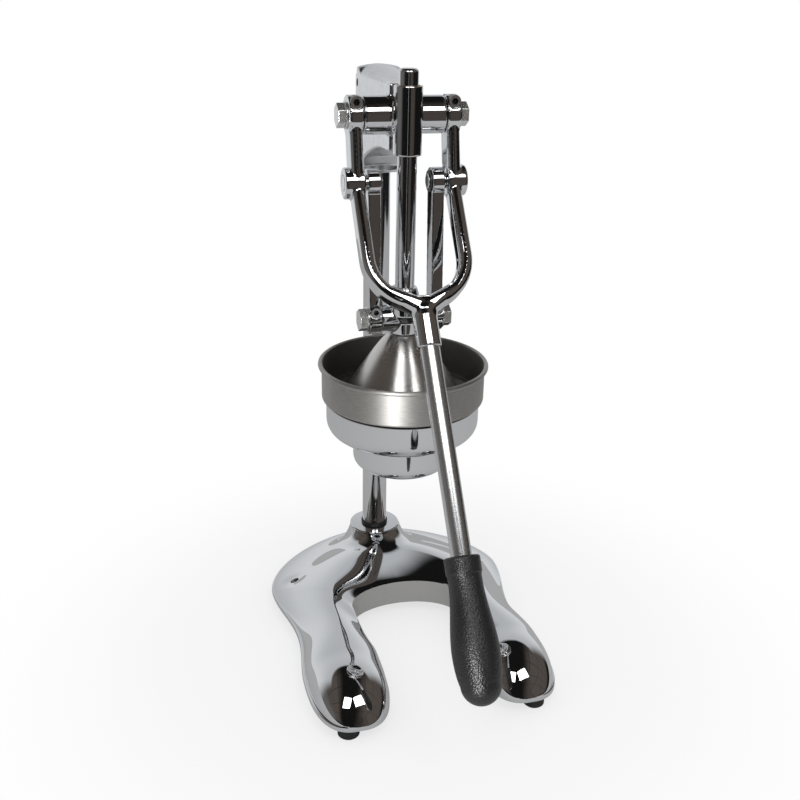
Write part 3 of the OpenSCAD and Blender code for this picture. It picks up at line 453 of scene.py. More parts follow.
def zinc_steel():
    """Bright zinc on fasteners, a little cloudy."""
    g, at, tint = material("zinc_steel", "zinc")
    cloud = g.noise(at, 260, 4.0, 0.6)
    surface(g, base_color=g.blend(cloud.step(0.3, 0.75), scaled(tint, 0.85), tint), metallic=0.94,
            roughness=cloud * 0.14 + 0.18, normal=g.bump(cloud, 0.15, 0.0001))


def plain_steel():
    """Ground steel with lines along the part."""
    g, at, tint = material("plain_steel", "zinc")
    lines = g.noise(at, 900, 3.0, 0.6, (1, 0.05, 0.05))
    dull = scaled(tint, 0.85)
    surface(g, base_color=g.blend(lines, scaled(dull, 0.85), dull), metallic=1.0,
            roughness=lines * 0.15 + 0.2, normal=g.bump(lines, 0.1, 0.00005))


def black_screw():
    """Dark oxide on socket screws, oily and rubbed on the high places."""
    g, at, tint = material("black_screw", "oxide")
    rub = g.noise(at, 420, 4.0, 0.65).step(0.55, 0.75)
    surface(g, base_color=g.blend(rub * 0.6, tint, scaled(tint, 2.4)), metallic=0.9,
            roughness=0.42 - rub * 0.14, normal=g.bump(rub, 0.1, 0.00008))


def cap_screw(node):
    """Steel of cap screws: bright on the rubbed faces of the heads, dark on the sides and in the sockets."""
    g, at, tint = material(node, "oxide")
    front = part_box(node)[0].y
    face = g.split(at)[1].step(front + SCREW_SOCKET, front + SCREW_FACE)
    rub = g.noise(at, 420, 4.0, 0.65)
    surface(g, base_color=g.blend(face, tint, finishes().zinc), metallic=1.0, roughness=rub * 0.15 + 0.2)


def bronze():
    """Sintered bronze, open grained and oily."""
    g, at, tint = material("bronze", "bronze")
    pores = g.noise(at, 1500, 3.0, 0.7)
    surface(g, base_color=g.blend(pores.step(0.35, 0.6), scaled(tint, 0.5), tint), metallic=1.0,
            roughness=0.5 - pores * 0.15, normal=g.bump(pores, 0.3, 0.0001))


def black_grip():
    """Moulded plastic with a pebbled grain."""
    g, at, tint = material("black_grip", "grip")
    pebbles = g.node("ShaderNodeTexVoronoi",
                     {"Vector": at, "Scale": 680.0, "Smoothness": 0.3, "Randomness": 1.0},
                     {"feature": "SMOOTH_F1"}, "Distance")
    pits = g.noise(at, 1200, 2.0, 0.6)
    worn = g.noise(at, 45, 3.0, 0.5)
    surface(g, base_color=g.blend(worn.step(0.4, 0.8), tint, scaled(tint, 1.6)),
            roughness=pits * 0.1 + worn * 0.08 + 0.26, specular_ior_level=0.5,
            normal=g.bump(pits * 0.15 - pebbles, 1.0, 0.0003))


def black_rubber():
    """Moulded rubber with dust in its grain."""
    g, at, tint = material("black_rubber", "rubber")
    grain = g.noise(at, 900, 4.0, 0.7)
    dust = g.noise(at, 120, 4.0, 0.6).step(0.5, 0.9)
    surface(g, base_color=g.blend(dust, tint, scaled(tint, 2.2)), roughness=grain * 0.2 + 0.55,
            normal=g.bump(grain, 0.3, 0.0002))


MATERIAL_MAKERS = (chrome_casting, chrome_head, chrome_base, chrome_holder, chrome_bar, chrome_tube,
                   satin_steel, polished_steel, zinc_steel, plain_steel, black_screw, bronze, black_grip,
                   black_rubber)
CAP_SCREWS = ("clamp_screws", "link_screws")
NODE_FINISHES = {row["node"]: row["material_slot"] for row in frame["record"]["subparts"]}


# Mesh tools

TURN_STEPS = 160
MERGE = 1e-7
CAD_MERGE = 1e-6
NEAR = 0.1 * MM
STRIP_GROUP = "strip_lit"
STRIP_LIT = ("strainer_bowl", "grip", "shaft_bolt_heads", "link_bolt_heads")


def mix(a, b, t):
    """A value between two values."""
    return a + (b - a) * t


def ease(t):
    """A share from 0 to 1 that starts and ends slowly, as a half wave does."""
    return (1 - cos(pi * t)) / 2


def ramp(low, high, value):
    """Smooth step from 0 to 1."""
    t = min(1, max(0, (value - low) / (high - low)))
    return t * t * (3 - 2 * t)


def shares(steps):
    """Shares from 0 to 1 in even steps."""
    return [i / steps for i in range(steps + 1)]


def arc(r, z, radius, start, end, steps):
    """Points on an arc of an outline, from one angle in degrees to another."""
    turns = [radians(mix(start, end, t)) for t in shares(steps)]
    return [(r + radius * cos(t), z + radius * sin(t)) for t in turns]


def turned(bm, outline, steps=TURN_STEPS, closed=True):
    """Spins an outline of (radius, height) points round the Z axis."""
    points = [bm.verts.new((r, 0, z)) for r, z in outline]
    pairs = list(zip(points, points[1:]))
    if closed:
        pairs.append((points[-1], points[0]))
    edges = [bm.edges.new(pair) for pair in pairs]
    bmesh.ops.spin(bm, geom=points + edges, cent=(0, 0, 0), axis=(0, 0, 1), angle=2 * pi, steps=steps,
                   use_merge=True, use_duplicate=False)
    bmesh.ops.remove_doubles(bm, verts=bm.verts, dist=MERGE)
    bmesh.ops.dissolve_degenerate(bm, edges=bm.edges, dist=MERGE)
    bmesh.ops.recalc_face_normals(bm, faces=bm.faces)


def object_from(name, bm, place=None):
    """A smooth shaded object at the origin from a bmesh, moved by a matrix first."""
    if place is not None:
        bmesh.ops.transform(bm, matrix=place, verts=bm.verts)
    mesh = bpy.data.meshes.new(name)
    bm.to_mesh(mesh)
    bm.free()
    mesh.shade_smooth()
    made = bpy.data.objects.new(name, mesh)
    bpy.context.scene.collection.objects.link(made)
    return made


def settle(made):
    """Turns an object's modifiers into its mesh."""
    depsgraph = bpy.context.evaluated_depsgraph_get()
    mesh = bpy.data.meshes.new_from_object(made.evaluated_get(depsgraph))
    made.modifiers.clear()
    made.data = mesh
    mesh.shade_smooth()


def even_normals(made):
    """Keeps flat faces flat beside their rounded edges."""
    made.modifiers.new("even_normals", "WEIGHTED_NORMAL").keep_sharp = True


def coat(made, finish):
    """Gives an object one material."""
    made.data.materials.clear()
    made.data.materials.append(bpy.data.materials[look_name(finish)])


def dress(made, body, finish, node):
    """Gives a piece its material and body, and hides the CAD node that it stands for."""
    coat(made, finish)
    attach(made, body)
    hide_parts(node)
    if made.name in STRIP_LIT:
        bpy.data.collections[STRIP_GROUP].objects.link(made)


def upright_at(y):
    """Matrix that moves a part turned about Z to an upright axis in the middle plane."""
    return Matrix.Translation((0, y, 0))


def lever_frame():
    """Matrix whose Z runs down the handle from the middle pins."""
    lean = bpy.context.scene.press_lever.handle_lean
    return Matrix.Translation(PIN) @ Matrix.Rotation(pi - lean, 4, "X")


# Base casting

ARCH_STEPS = 80
LEG_STEPS = 44
TOE_STEPS = 26
INNER_STEPS = 14
OUTER_STEPS = 80
LIP_STEPS = 5
HOLE_STEPS = 48
TOE_END_DEGREES = 87
SHARP_DEGREES = 40
OUTLINE_POWER = 1.7
TOE_OUTLINE_POWER = 2.7
RIDGE_SPREAD = 4
SHARE_SPREAD = 3
GAP_END = 0.86
WALL_END = 0.7
BALL_RISE = 1.5 * MM
ARCH_RIDGE_SHARE = 0.44
LEG_RIDGE_SHARE = 0.24
TOE_RIDGE_SHARE = 0.5
RIDGE_POWER = 0.75
SHARE_POWER = 0.6
WALL_FALL = 0.5 * MM
TIP = 1 * MM
LIP = 2 * MM
LIP_SHARE = 0.6
FLARE_POWER = 2.4
FLARE_START = 25 * MM
FLARE_FRONT = 3
FLARE_BLEND = 9 * MM
FLARE_FADE = 0.7
DENT = 1.3 * MM
DENT_REACH = 14 * MM
BOSS_SINK = 3 * MM
BOSS_EDGE = 1 * MM

Section = namedtuple("Section", "inner outer wall ridge ridge_share dome")


def soft_max(a, b, reach):
    """The larger of two heights, with a fillet of a given reach where they meet."""
    near = max(reach - abs(a - b), 0) / reach
    return max(a, b) + near * near * reach / 4


class Horseshoe:
    """The base casting as sections across the horseshoe, from its inner wall to its outer edge."""

    def __init__(self, sizes):
        self.s = sizes
        low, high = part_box("base_casting")
        self.base_z = low.z
        self.boss_h = high.z
        self.rear_y = high.y
        self.wing_half = high.x
        self.wing_y = COLUMN_Y - sizes.wing_forward
        self.waist_y = PRESS_Y - sizes.waist_front
        self.toe_y = PRESS_Y - sizes.toe_start
        self.edge_z = self.base_z + sizes.edge_t
        self.leg_wall_h = sizes.arch_wall_h - WALL_FALL
        mount = next(m for m in frame["record"]["mounts"] if m["name"] == "counter_bolts")
        spread = mount["dims"]["spacing_x_mm"] * MM / 2
        self.bolts = [Vector((side * spread, mount["pos_m"][1])) for side in (1, -1)]
        self.bolt_hole_d = 2 * mount["dims"]["hole_r_mm"] * MM

    def arch(self, degrees):
        """Section round the arch, from the middle at 0 degrees to the legs at 90."""
        s = self.s
        a = radians(degrees)
        back = max(0, cos(a))
        power = 2 / OUTLINE_POWER
        inner = (s.arch_half * sin(a), PRESS_Y + s.arch_back - s.arch_deep * (1 - cos(a)))
        outer = (self.wing_half * sin(a) ** power, mix(self.wing_y, self.rear_y, back ** power))
        wall = mix(s.arch_wall_h, self.leg_wall_h, degrees / 90)
        ridge = mix(s.arch_ridge_h, s.leg_ridge_h, 1 - back ** RIDGE_SPREAD)
        ridge_share = mix(ARCH_RIDGE_SHARE, LEG_RIDGE_SHARE, 1 - back ** SHARE_SPREAD)
        return Section(inner, outer, wall, ridge, ridge_share, 0)

    def leg(self, t):
        """Section across a leg; t runs from the arch to the toe."""
        s = self.s
        inner_x = mix(s.arch_half, s.toe_gap_half, ease(min(1, t / GAP_END)))
        inner_y = mix(PRESS_Y + s.arch_back - s.arch_deep, self.toe_y, t)
        outer_y = mix(self.wing_y, self.toe_y, t)
        if outer_y > self.waist_y:
            narrowing = ease((self.wing_y - outer_y) / (self.wing_y - self.waist_y))
            outer_x = mix(self.wing_half, s.waist_half, narrowing)
        else:
            widening = ease((self.waist_y - outer_y) / (self.waist_y - self.toe_y))
            outer_x = mix(s.waist_half, s.toe_half, widening)
        wall = mix(self.leg_wall_h, self.edge_z, ease(min(1, t / WALL_END)))
        if t < 0.5:
            ridge = mix(s.leg_ridge_h, s.waist_h, ease(2 * t))
        else:
            ridge = mix(s.waist_h, s.toe_h - BALL_RISE, ease(2 * t - 1))
        ridge_share = mix(LEG_RIDGE_SHARE, TOE_RIDGE_SHARE, ease(t) ** SHARE_POWER)
        return Section((inner_x, inner_y), (outer_x, outer_y), wall, ridge, ridge_share, ease(t))

    def toe(self, degrees):
        """Section across the round end of a toe: a super-ellipse in plan, whose crest ends in a ball."""
        s = self.s
        t = sin(radians(degrees))
        half = (s.toe_half - s.toe_gap_half) / 2 * (1 - t ** TOE_OUTLINE_POWER) ** (1 / TOE_OUTLINE_POWER)
        centre = (s.toe_half + s.toe_gap_half) / 2
        forward = mix(s.toe_start, s.toe_front, t)
        y = PRESS_Y - forward
        if forward < s.ball_front:
            rise = ease((forward - s.toe_start) / (s.ball_front - s.toe_start))
            ridge = mix(s.toe_h - BALL_RISE, s.toe_h, rise)
        else:
            drop = s.toe_h - self.base_z - 2 * TIP
            ball = (drop ** 2 + (s.toe_front - s.ball_front) ** 2) / (2 * drop)
            ridge = s.toe_h - ball + sqrt(ball ** 2 - (forward - s.ball_front) ** 2)
        low = self.base_z + TIP
        ridge = max(ridge, low + TIP)
        wall = mix(low, self.edge_z, min(1, (ridge - low) / (s.toe_h - BALL_RISE - low)))
        return Section((centre - half, y), (centre + half, y), wall, ridge, TOE_RIDGE_SHARE, 1)

    def outline(self, section):
        """Share across and height of the points of a section."""
        edge = min(self.edge_z, section.ridge - TIP / 2)
        points = [(0, self.base_z), (0, section.wall)]
        for t in shares(INNER_STEPS)[1:]:
            rise = mix(t ** RIDGE_POWER, sqrt(max(0, 1 - (1 - t) ** 2)), section.dome)
            points.append((section.ridge_share * t, mix(section.wall, section.ridge, rise)))
        lip = min(LIP, (edge - self.base_z) * LIP_SHARE)
        width = (Vector(section.outer) - Vector(section.inner)).length
        lip_share = min(lip / max(width, TIP), (1 - section.ridge_share) / 2)
        for t in shares(OUTER_STEPS)[1:]:
            soft = (1 - t) ** 2 * (1 + 2 * t)
            height = mix(soft, sqrt(max(0, 1 - t * t)), section.dome)
            points.append((mix(section.ridge_share, 1 - lip_share, t), mix(edge, section.ridge, height)))
        for t in shares(LIP_STEPS)[1:]:
            a = pi / 2 * t
            points.append((1 - lip_share * (1 - sin(a)), edge - lip * (1 - cos(a))))
        points.append((1, self.base_z))
        return points

    def blended(self, share, place, z):
        """Height of a point of the top with the boss's flare and the dents at the bolt holes."""
        out = place - Vector((0, COLUMN_Y))
        boss = self.s.boss_d / 2
        front = max(0, -out.y / max(out.length, TIP))
        radius = boss + (out.length - boss) / mix(1, FLARE_FRONT, front ** 2)
        flare = (boss / max(radius, FLARE_START)) ** FLARE_POWER
        raised = soft_max(z, mix(self.base_z, self.boss_h, flare), FLARE_BLEND)
        z = mix(raised, z, ramp(FLARE_FADE, 1, share))
        for bolt in self.bolts:
            away = (place - bolt).length / DENT_REACH
            z -= DENT * max(0, 1 - away * away) ** 2
        return z

    def ring(self, section, side):
        """Points of one section; side is 1 or -1."""
        made = []
        for i, (share, z) in enumerate(self.outline(section)):
            x = side * mix(section.inner[0], section.outer[0], share)
            place = Vector((x, mix(section.inner[1], section.outer[1], share)))
            if 1 < i <= 1 + INNER_STEPS + OUTER_STEPS:
                z = self.blended(share, place, z)
            made.append((*place, z))
        return made

    def rings(self):
        """All sections in order, from one toe round to the other."""
        half = [self.arch(90 * t) for t in shares(ARCH_STEPS)]
        half += [self.leg(t) for t in shares(LEG_STEPS)[1:]]
        half += [self.toe(TOE_END_DEGREES * t) for t in shares(TOE_STEPS)[1:]]
        return [self.ring(s, 1) for s in reversed(half[1:])] + [self.ring(s, -1) for s in half]


def horseshoe_mesh(bm, shape):
    """Bridges the sections into one closed skin."""
    loops = []
    for ring in shape.rings():
        points = [bm.verts.new(p) for p in ring]
        loops.append([bm.edges.new(pair) for pair in zip(points, points[1:] + points[:1])])
    for first, second in zip(loops, loops[1:]):
        bmesh.ops.bridge_loops(bm, edges=first + second)
    for end in (loops[0], loops[-1]):
        bmesh.ops.edgeloop_fill(bm, edges=end)
    bmesh.ops.recalc_face_normals(bm, faces=bm.faces)


def boss_outline(shape):
    """Outline of the column boss; its flare goes on in the skin of the horseshoe."""
    r = shape.s.boss_d / 2
    low = shape.base_z + BOSS_SINK
    top = shape.boss_h
    return [(0, low), (r, low), *arc(r - BOSS_EDGE, top - BOSS_EDGE, BOSS_EDGE, 0, 90, 4), (0, top)]


def drill(made, places, diameter, low, high):
    """Cuts upright round holes into an object."""
    bm = bmesh.new()
    for x, y in places:
        bmesh.ops.create_cone(bm, cap_ends=True, segments=HOLE_STEPS, radius1=diameter / 2,
                              radius2=diameter / 2, depth=high - low,
                              matrix=Matrix.Translation((x, y, (low + high) / 2)))
    cutter = object_from("drill", bm)
    cut = made.modifiers.new("holes", "BOOLEAN")
    cut.operation = "DIFFERENCE"
    cut.object = cutter
    settle(made)
    bpy.data.objects.remove(cutter)


class PRESS_OT_base(Operator):
    """Make the polished horseshoe base."""
    bl_idname = "press.base"
    bl_label = "Base casting"

    def execute(self, context):
        shape = Horseshoe(context.scene.press_base)
        bm = bmesh.new()
        horseshoe_mesh(bm, shape)
        made = object_from("base_shell", bm)
        drill(made, shape.bolts, shape.bolt_hole_d, 0, shape.boss_h)
        bm = bmesh.new()
        turned(bm, boss_outline(shape), closed=False)
        bmesh.ops.transform(bm, matrix=upright_at(COLUMN_Y), verts=bm.verts)
        bm.from_mesh(made.data)
        bm.to_mesh(made.data)
        bm.free()
        made.data.set_sharp_from_angle(angle=radians(SHARP_DEGREES))
        dress(made, "frame", "chrome_base", "base_casting")
        return {"FINISHED"}


# Turned bars

BARS = (("column_bar", "column", "frame", COLUMN_Y, 1 * MM),
        ("press_rod_bar", "press_rod", "press", PRESS_Y, 3 * MM))
RING_EDGE = 1 * MM


def turned_piece(name, node, body, finish, outline, place, closed=True, steps=TURN_STEPS):
    """A turned piece that stands for one CAD node."""
    bm = bmesh.new()
    turned(bm, outline, steps, closed)
    made = object_from(name, bm, place)
    dress(made, body, finish, node)
    return made


def bar_outline(radius, low, high, edge):
    """Outline of a solid bar with rounded ends."""
    return [(0, low), *arc(radius - edge, low + edge, edge, -90, 0, 8),
            *arc(radius - edge, high - edge, edge, 0, 90, 8), (0, high)]


class PRESS_OT_bars(Operator):
    """Make column, press rod and column ring."""
    bl_idname = "press.bars"
    bl_label = "Turned bars"

    def execute(self, context):
        for name, node, body, y, edge in BARS:
            low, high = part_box(node)
            outline = bar_outline((high.x - low.x) / 2, low.z, high.z, edge)
            even_normals(turned_piece(name, node, body, "chrome_bar", outline, upright_at(y), False))
        low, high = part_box("column_collar")
        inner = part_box("column")[1].x
        edge = arc(high.x - RING_EDGE, high.z - RING_EDGE, RING_EDGE, 0, 90, 4)
        outline = [(inner, low.z), (high.x, low.z), *edge, (inner, high.z)]
        even_normals(turned_piece("column_ring", "column_collar", "frame", "black_screw", outline,
                                  upright_at(COLUMN_Y)))
        return {"FINISHED"}


# Handle

TUBE_IN_GRIP = 2 * MM
MOUTH_DEEP = 1 * MM
MOUTH_WIDE = 0.6 * MM
COLLAR_ROUND = 2 * MM
COLLAR_EDGE = 1 * MM
NECK_ROUND = 0.3 * MM
PALM_START = 4 * MM
PALM_SWELL = 1.35
PALM_END_POWER = 8
PALM_STEPS = 40
GRIP_STEPS = 96


def tube_outline(s):
    """Outline of the handle tube, which ends a little inside the grip."""
    radius = s.tube_d / 2
    end = s.grip_start + TUBE_IN_GRIP
    return [(0, s.tube_start), (radius, s.tube_start), (radius, end), (0, end)]


def grip_outline(s):
    """Outline of the grip: a collar, a neck, and a palm that swells towards its round end."""
    start = s.grip_start
    mouth = s.tube_d / 2
    collar = s.grip_collar_d / 2
    collar_end = start + s.grip_collar_len
    neck = s.grip_neck_d / 2
    palm_start = collar_end + PALM_START
    palm_end = start + s.grip_len - s.grip_end_r
    points = [(mouth, start + MOUTH_DEEP), (mouth + MOUTH_WIDE, start),
              *arc(collar - COLLAR_ROUND, start + COLLAR_ROUND, COLLAR_ROUND, -90, 0, 6),
              *arc(collar - COLLAR_EDGE, collar_end - COLLAR_EDGE, COLLAR_EDGE, 0, 60, 4),
              (neck + NECK_ROUND, collar_end + 2 * NECK_ROUND), (neck, collar_end + 5 * NECK_ROUND)]
    for t in shares(PALM_STEPS):
        palm = mix(neck, s.grip_d / 2, ease(min(1, PALM_SWELL * t)))
        points.append((mix(palm, s.grip_end_r, t ** PALM_END_POWER), mix(palm_start, palm_end, t)))
    return points + arc(0, palm_end, s.grip_end_r, 0, 90, 14)[1:]


class PRESS_OT_handle(Operator):
    """Make handle tube and grip."""
    bl_idname = "press.handle"
    bl_label = "Handle"

    def execute(self, context):
        sizes = context.scene.press_lever
        place = lever_frame()
        even_normals(turned_piece("handle_tube_bar", "handle_tube", "lever", "chrome_tube",
                                  tube_outline(sizes), place, False))
        even_normals(turned_piece("grip", "handle_grip", "lever", "black_grip",
                                  grip_outline(sizes), place, False, GRIP_STEPS))
        return {"FINISHED"}


# Spun steel

BELL_STEPS = 40
INSIDE_DROP = 0.8
CUP_STEPS = 192
CUP_CORNER = 2.5 * MM
CUP_HOLD = 0.3 * MM
SUMP_CORNER = 2 * MM


def bell_line(s, low, high, inset):
    """Outline of one side of the bell's sheet, from the neck to the edge; the inside starts lower."""
    top = high - INSIDE_DROP * inset
    return [(mix(s.neck_d, s.bell_d, t) / 2 - inset, top - (top - low) * t ** s.bell_power)
            for t in shares(BELL_STEPS)[:-1]]


def bell_outline(s, low, high):
    """Outline of the bell, with a bead round its edge."""
    bead = s.bell_t
    edge = arc(s.bell_d / 2 - s.bell_t / 2, low + bead, bead, 60, -180, 16)
    return [*bell_line(s, low, high, 0), *edge, *reversed(bell_line(s, low, high, s.bell_t))]


def cup_outline(s, low, high, rim):
    """Outline of the strainer cup: wall, rolled rim, step and sump; rim is the outside radius."""
    wall = s.cup_d / 2
    t = s.cup_t
    bead = s.rim_bead_d / 2
    step_z = low + s.cup_sump
    wall_low = step_z + CUP_CORNER
    wall_high = high - 2 * bead
    return [*arc(wall - CUP_CORNER, wall_low, CUP_CORNER, -90, 0, 6), (wall, wall_low + CUP_HOLD),
            (wall, wall_high - CUP_HOLD), (wall, wall_high),
            *arc(rim - bead, high - bead, bead, -120, 180, 20),
            (wall - t, wall_high - CUP_HOLD), (wall - t, wall_low + CUP_HOLD),
            *arc(wall - CUP_CORNER, wall_low, CUP_CORNER - t, 0, -90, 6),
            (s.sump_r - t, step_z + t), (s.sump_r - t, low + t), (s.seat_r, low + t), (s.seat_r, low),
            *arc(s.sump_r - SUMP_CORNER, low + SUMP_CORNER, SUMP_CORNER, -90, 0, 5), (s.sump_r, step_z)]


class PRESS_OT_steel(Operator):
    """Make bell and strainer cup."""
    bl_idname = "press.steel"
    bl_label = "Spun steel"

    def execute(self, context):
        sizes = context.scene.press_cup
        low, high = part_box("press_bell")
        turned_piece("bell", "press_bell", "press", "polished_steel", bell_outline(sizes, low.z, high.z),
                     upright_at(PRESS_Y))
        low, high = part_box("strainer_cup")
        turned_piece("strainer_bowl", "strainer_cup", "frame", "satin_steel",
                     cup_outline(sizes, low.z, high.z, high.x), upright_at(PRESS_Y), True, CUP_STEPS)
        return {"FINISHED"}


# Castings and fasteners that round off their CAD shape

ROUND_POINTS = 32
ROUND_TURNS = [2 * pi * t for t in shares(ROUND_POINTS)[:-1]]
NECK_FLAT = 0.4


def widen_arm(bm):
    """Lets the flanks of the head's arm run out to the socket, and lowers its nose to the guide sleeve."""
    s = bpy.context.scene.press_head
    for vert in bm.verts:
        if vert.co.y > COLUMN_Y:
            continue
        wide = mix(s.arm_half, s.socket_r, ramp(PRESS_Y, COLUMN_Y - s.socket_r / 2, vert.co.y))
        if vert.co.y < PRESS_Y + 2 * s.socket_r:
            vert.co.z = min(vert.co.z, SHAFT.z + s.sleeve_above)
        if abs(vert.co.x) < s.arm_half + NEAR:
            vert.co.x *= wide / s.arm_half
        elif vert.co.z > SHAFT.z:
            vert.co.x = copysign(max(abs(vert.co.x), wide), vert.co.x)


def arm_section(s, turn):
    """Points round the fork's arm where it has turned from the socket by an angle."""
    points = []
    for a in ROUND_TURNS:
        out = s.fork_half + s.arm_t / 2 * cos(a)
        y = s.arm_t / 2 * sin(a) + copysign((s.arm_w - s.arm_t) / 2, sin(a))
        points.append((out * sin(turn), y, s.fork_run + out * cos(turn)))
    return points


def socket_ring(s, z):
    """Points round the handle socket."""
    radius = s.socket_d / 2
    return [(radius * cos(a), radius * sin(a), z) for a in ROUND_TURNS]


def add_hull(bm, points, place):
    """Adds the convex hull of some points as a closed shell."""
    verts = [bm.verts.new(place @ Vector(point)) for point in points]
    made = bmesh.ops.convex_hull(bm, input=verts)
    bmesh.ops.delete(bm, geom=made["geom_interior"], context="VERTS")


def add_gussets(bm):
    """Lets the fork's arms meet above the handle socket in a V, with gussets in the corners below."""
    s = bpy.context.scene.press_lever
    start = s.fork_run + s.fork_half - s.arm_t / 2
    place = lever_frame()
    back = place.inverted()
    for vert in bm.verts:
        at = back @ vert.co
        if start - NEAR < at.z < start + s.arm_t / 2 and abs(at.x) < s.arm_w / 2 + 2 * NEAR:
            at.y *= NECK_FLAT
            vert.co = place @ at
    bridge = [point for side in (-1, 0, 1) for point in arm_section(s, side * s.bridge_turn)]
    add_hull(bm, bridge, place)
    rings = socket_ring(s, start + s.gusset_start) + socket_ring(s, start + s.gusset_end)
    for side in (1, -1):
        add_hull(bm, rings + arm_section(s, side * s.gusset_turn), place)


Skin = namedtuple("Skin", "name node body finish voxel passes reshape", defaults=[None])
SKINS = (
    Skin("head_skin", "head_casting", "frame", "chrome_head", 0.8 * MM, 8, widen_arm),
    Skin("fork_skin", "fork", "lever", "chrome_casting", 0.8 * MM, 6, add_gussets),
    Skin("holder_skin", "cup_holder", "frame", "chrome_holder", 1.0 * MM, 6),
    Skin("left_link_skin", "left_link", "links", "chrome_casting", 0.6 * MM, 5),
    Skin("right_link_skin", "right_link", "links", "chrome_casting", 0.6 * MM, 5),
    Skin("crosshead_skin", "crosshead", "press", "chrome_casting", 0.55 * MM, 5),
    Skin("shaft_bolt_heads", "shaft_bolts", "lever", "zinc_steel", 0.4 * MM, 4),
    Skin("link_bolt_heads", "link_bolts", "links", "zinc_steel", 0.4 * MM, 4),
    Skin("shaft_washer_discs", "shaft_washers", "lever", "zinc_steel", 0.35 * MM, 3),
    Skin("link_washer_discs", "link_washers", "links", "zinc_steel", 0.35 * MM, 3),
    Skin("pivot_pin_heads", "pivot_pins", "lever", "chrome_bar", 0.4 * MM, 4),
)


def copy_of(skin):
    """A merged copy of a CAD node's mesh, reshaped where the real casting differs."""
    bm = bmesh.new()
    bm.from_mesh(frame["nodes"][skin.node].data)
    bmesh.ops.remove_doubles(bm, verts=bm.verts, dist=CAD_MERGE)
    if skin.reshape:
        skin.reshape(bm)
    return object_from(skin.name, bm)


def cast(made, voxel, passes):
    """Grows the shells of an object into one skin with rounded edges and fillets, as cast metal has."""
    remesh = made.modifiers.new("skin", "REMESH")
    remesh.mode = "VOXEL"
    remesh.voxel_size = voxel
    smooth = made.modifiers.new("polish", "SMOOTH")
    smooth.factor = 0.5
    smooth.iterations = passes
    settle(made)


class PRESS_OT_skins(Operator):
    """Round off castings and fasteners."""
    bl_idname = "press.skins"
    bl_label = "Castings and fasteners"

    def execute(self, context):
        for skin in SKINS:
            made = copy_of(skin)
            cast(made, skin.voxel, skin.passes)
            dress(made, skin.body, skin.finish, skin.node)
        return {"FINISHED"}


class PRESS_OT_frame_parts(Operator):
    """Give the CAD parts that still show their materials."""
    bl_idname = "press.frame_parts"
    bl_label = "CAD parts"

    def execute(self, context):
        for node, obj in frame["nodes"].items():
            if not obj.hide_render:
                coat(obj, node if node in CAP_SCREWS else NODE_FINISHES[node])
        return {"FINISHED"}


# Studio

WHITE = (1, 1, 1)
BLACK = (0, 0, 0)
FILL = (0.74, 0.74, 0.74)
BACKDROP_LOW = (0.66, 0.67, 0.68)
BACKDROP_HIGH = (0.46, 0.47, 0.485)
ROOM_DARK = (0.007, 0.0068, 0.0066)
TILE = (0.085, 0.072, 0.063)
TILE_JOINT = (0.006, 0.0055, 0.005)
TILES_PER_HEIGHT = 1.7
JOINT_WIDTH = 0.06
PANEL = (0.062, 0.052, 0.046)
FLANK = (0.12, 0.116, 0.112)
SLIT = (0.42, 0.46, 0.44)
SLIT_PLACE = 0.05
LAMP_TARGET = Vector((0, 0, 0.22))
LAMP_FAR = 1.3
FLOOR_HALF = (1.6, 1.1, 1)
FLOOR_PLACE = (0, 0.45, 0)
PAPER_NEAR = 0.16
PAPER_FAR = 0.42
SENSOR = 36
CLIP_START = 0.01


def lamp_side(azimuth, elevation):
    """Direction from the object, azimuth measured from the front to the right."""
    a = radians(azimuth)
    e = radians(elevation)
    return Vector((sin(a) * cos(e), -cos(a) * cos(e), sin(e)))


def softbox(name, azimuth, elevation, width, height, power):
    """An area lamp that looks at the middle of the press."""
    direction = lamp_side(azimuth, elevation)
    lamp = bpy.data.lights.new(name, "AREA")
    lamp.shape = "RECTANGLE"
    lamp.size = width
    lamp.size_y = height
    lamp.energy = power
    made = bpy.data.objects.new(name, lamp)
    made.location = LAMP_TARGET + direction * LAMP_FAR
    made.rotation_euler = direction.to_track_quat("Z", "Y").to_euler()
    made.visible_camera = False
    bpy.context.scene.collection.objects.link(made)
    return made


def mirrored_room(g):
    """What chrome mirrors: a dark tiled room in front of the press and a pale backdrop behind it."""
    x, y, z = g.split(g.node("ShaderNodeTexCoord", output="Generated"))
    yaw = bpy.context.scene.press_camera.yaw
    front = x * sin(yaw) - y * cos(yaw)
    side = x * cos(yaw) + y * sin(yaw)
    level = (1 - z * z).math("MAXIMUM", 0.003).math("SQRT")
    ahead = front / level
    right = side / level
    high = z.math("MAXIMUM", 0.2)
    across = (side / high * TILES_PER_HEIGHT).math("FRACT")
    along = (front / high * TILES_PER_HEIGHT).math("FRACT")
    tiles = g.blend(across.step(0, JOINT_WIDTH) * along.step(0, JOINT_WIDTH), TILE_JOINT, TILE)
    lit = side.math("ABSOLUTE").step(0.25, 0.6) * z.step(0.12, 0.3)
    room = g.blend(lit, ROOM_DARK, tiles)
    panel = right.step(0.3, 0.42) * right.step(0.86, 0.7) * z.step(0.3, 0.15)
    room = g.blend(panel, room, PANEL)
    flank = (right * -1).step(0.62, 0.9) * z.step(0.5, 0.2)
    room = g.blend(flank, room, FLANK)
    slit = (right - SLIT_PLACE).math("ABSOLUTE").step(0.022, 0.012) * ahead.step(0, 0.1) * z.step(0.3, 0.2)
    room = g.blend(slit, room, SLIT)
    backdrop = g.blend(z.step(0, 0.7), BACKDROP_LOW, BACKDROP_HIGH)
    pale = (ahead + right * 0.25).step(-0.33, -0.72) * z.step(0.70, 0.62)
    return g.blend(pale, room, backdrop)


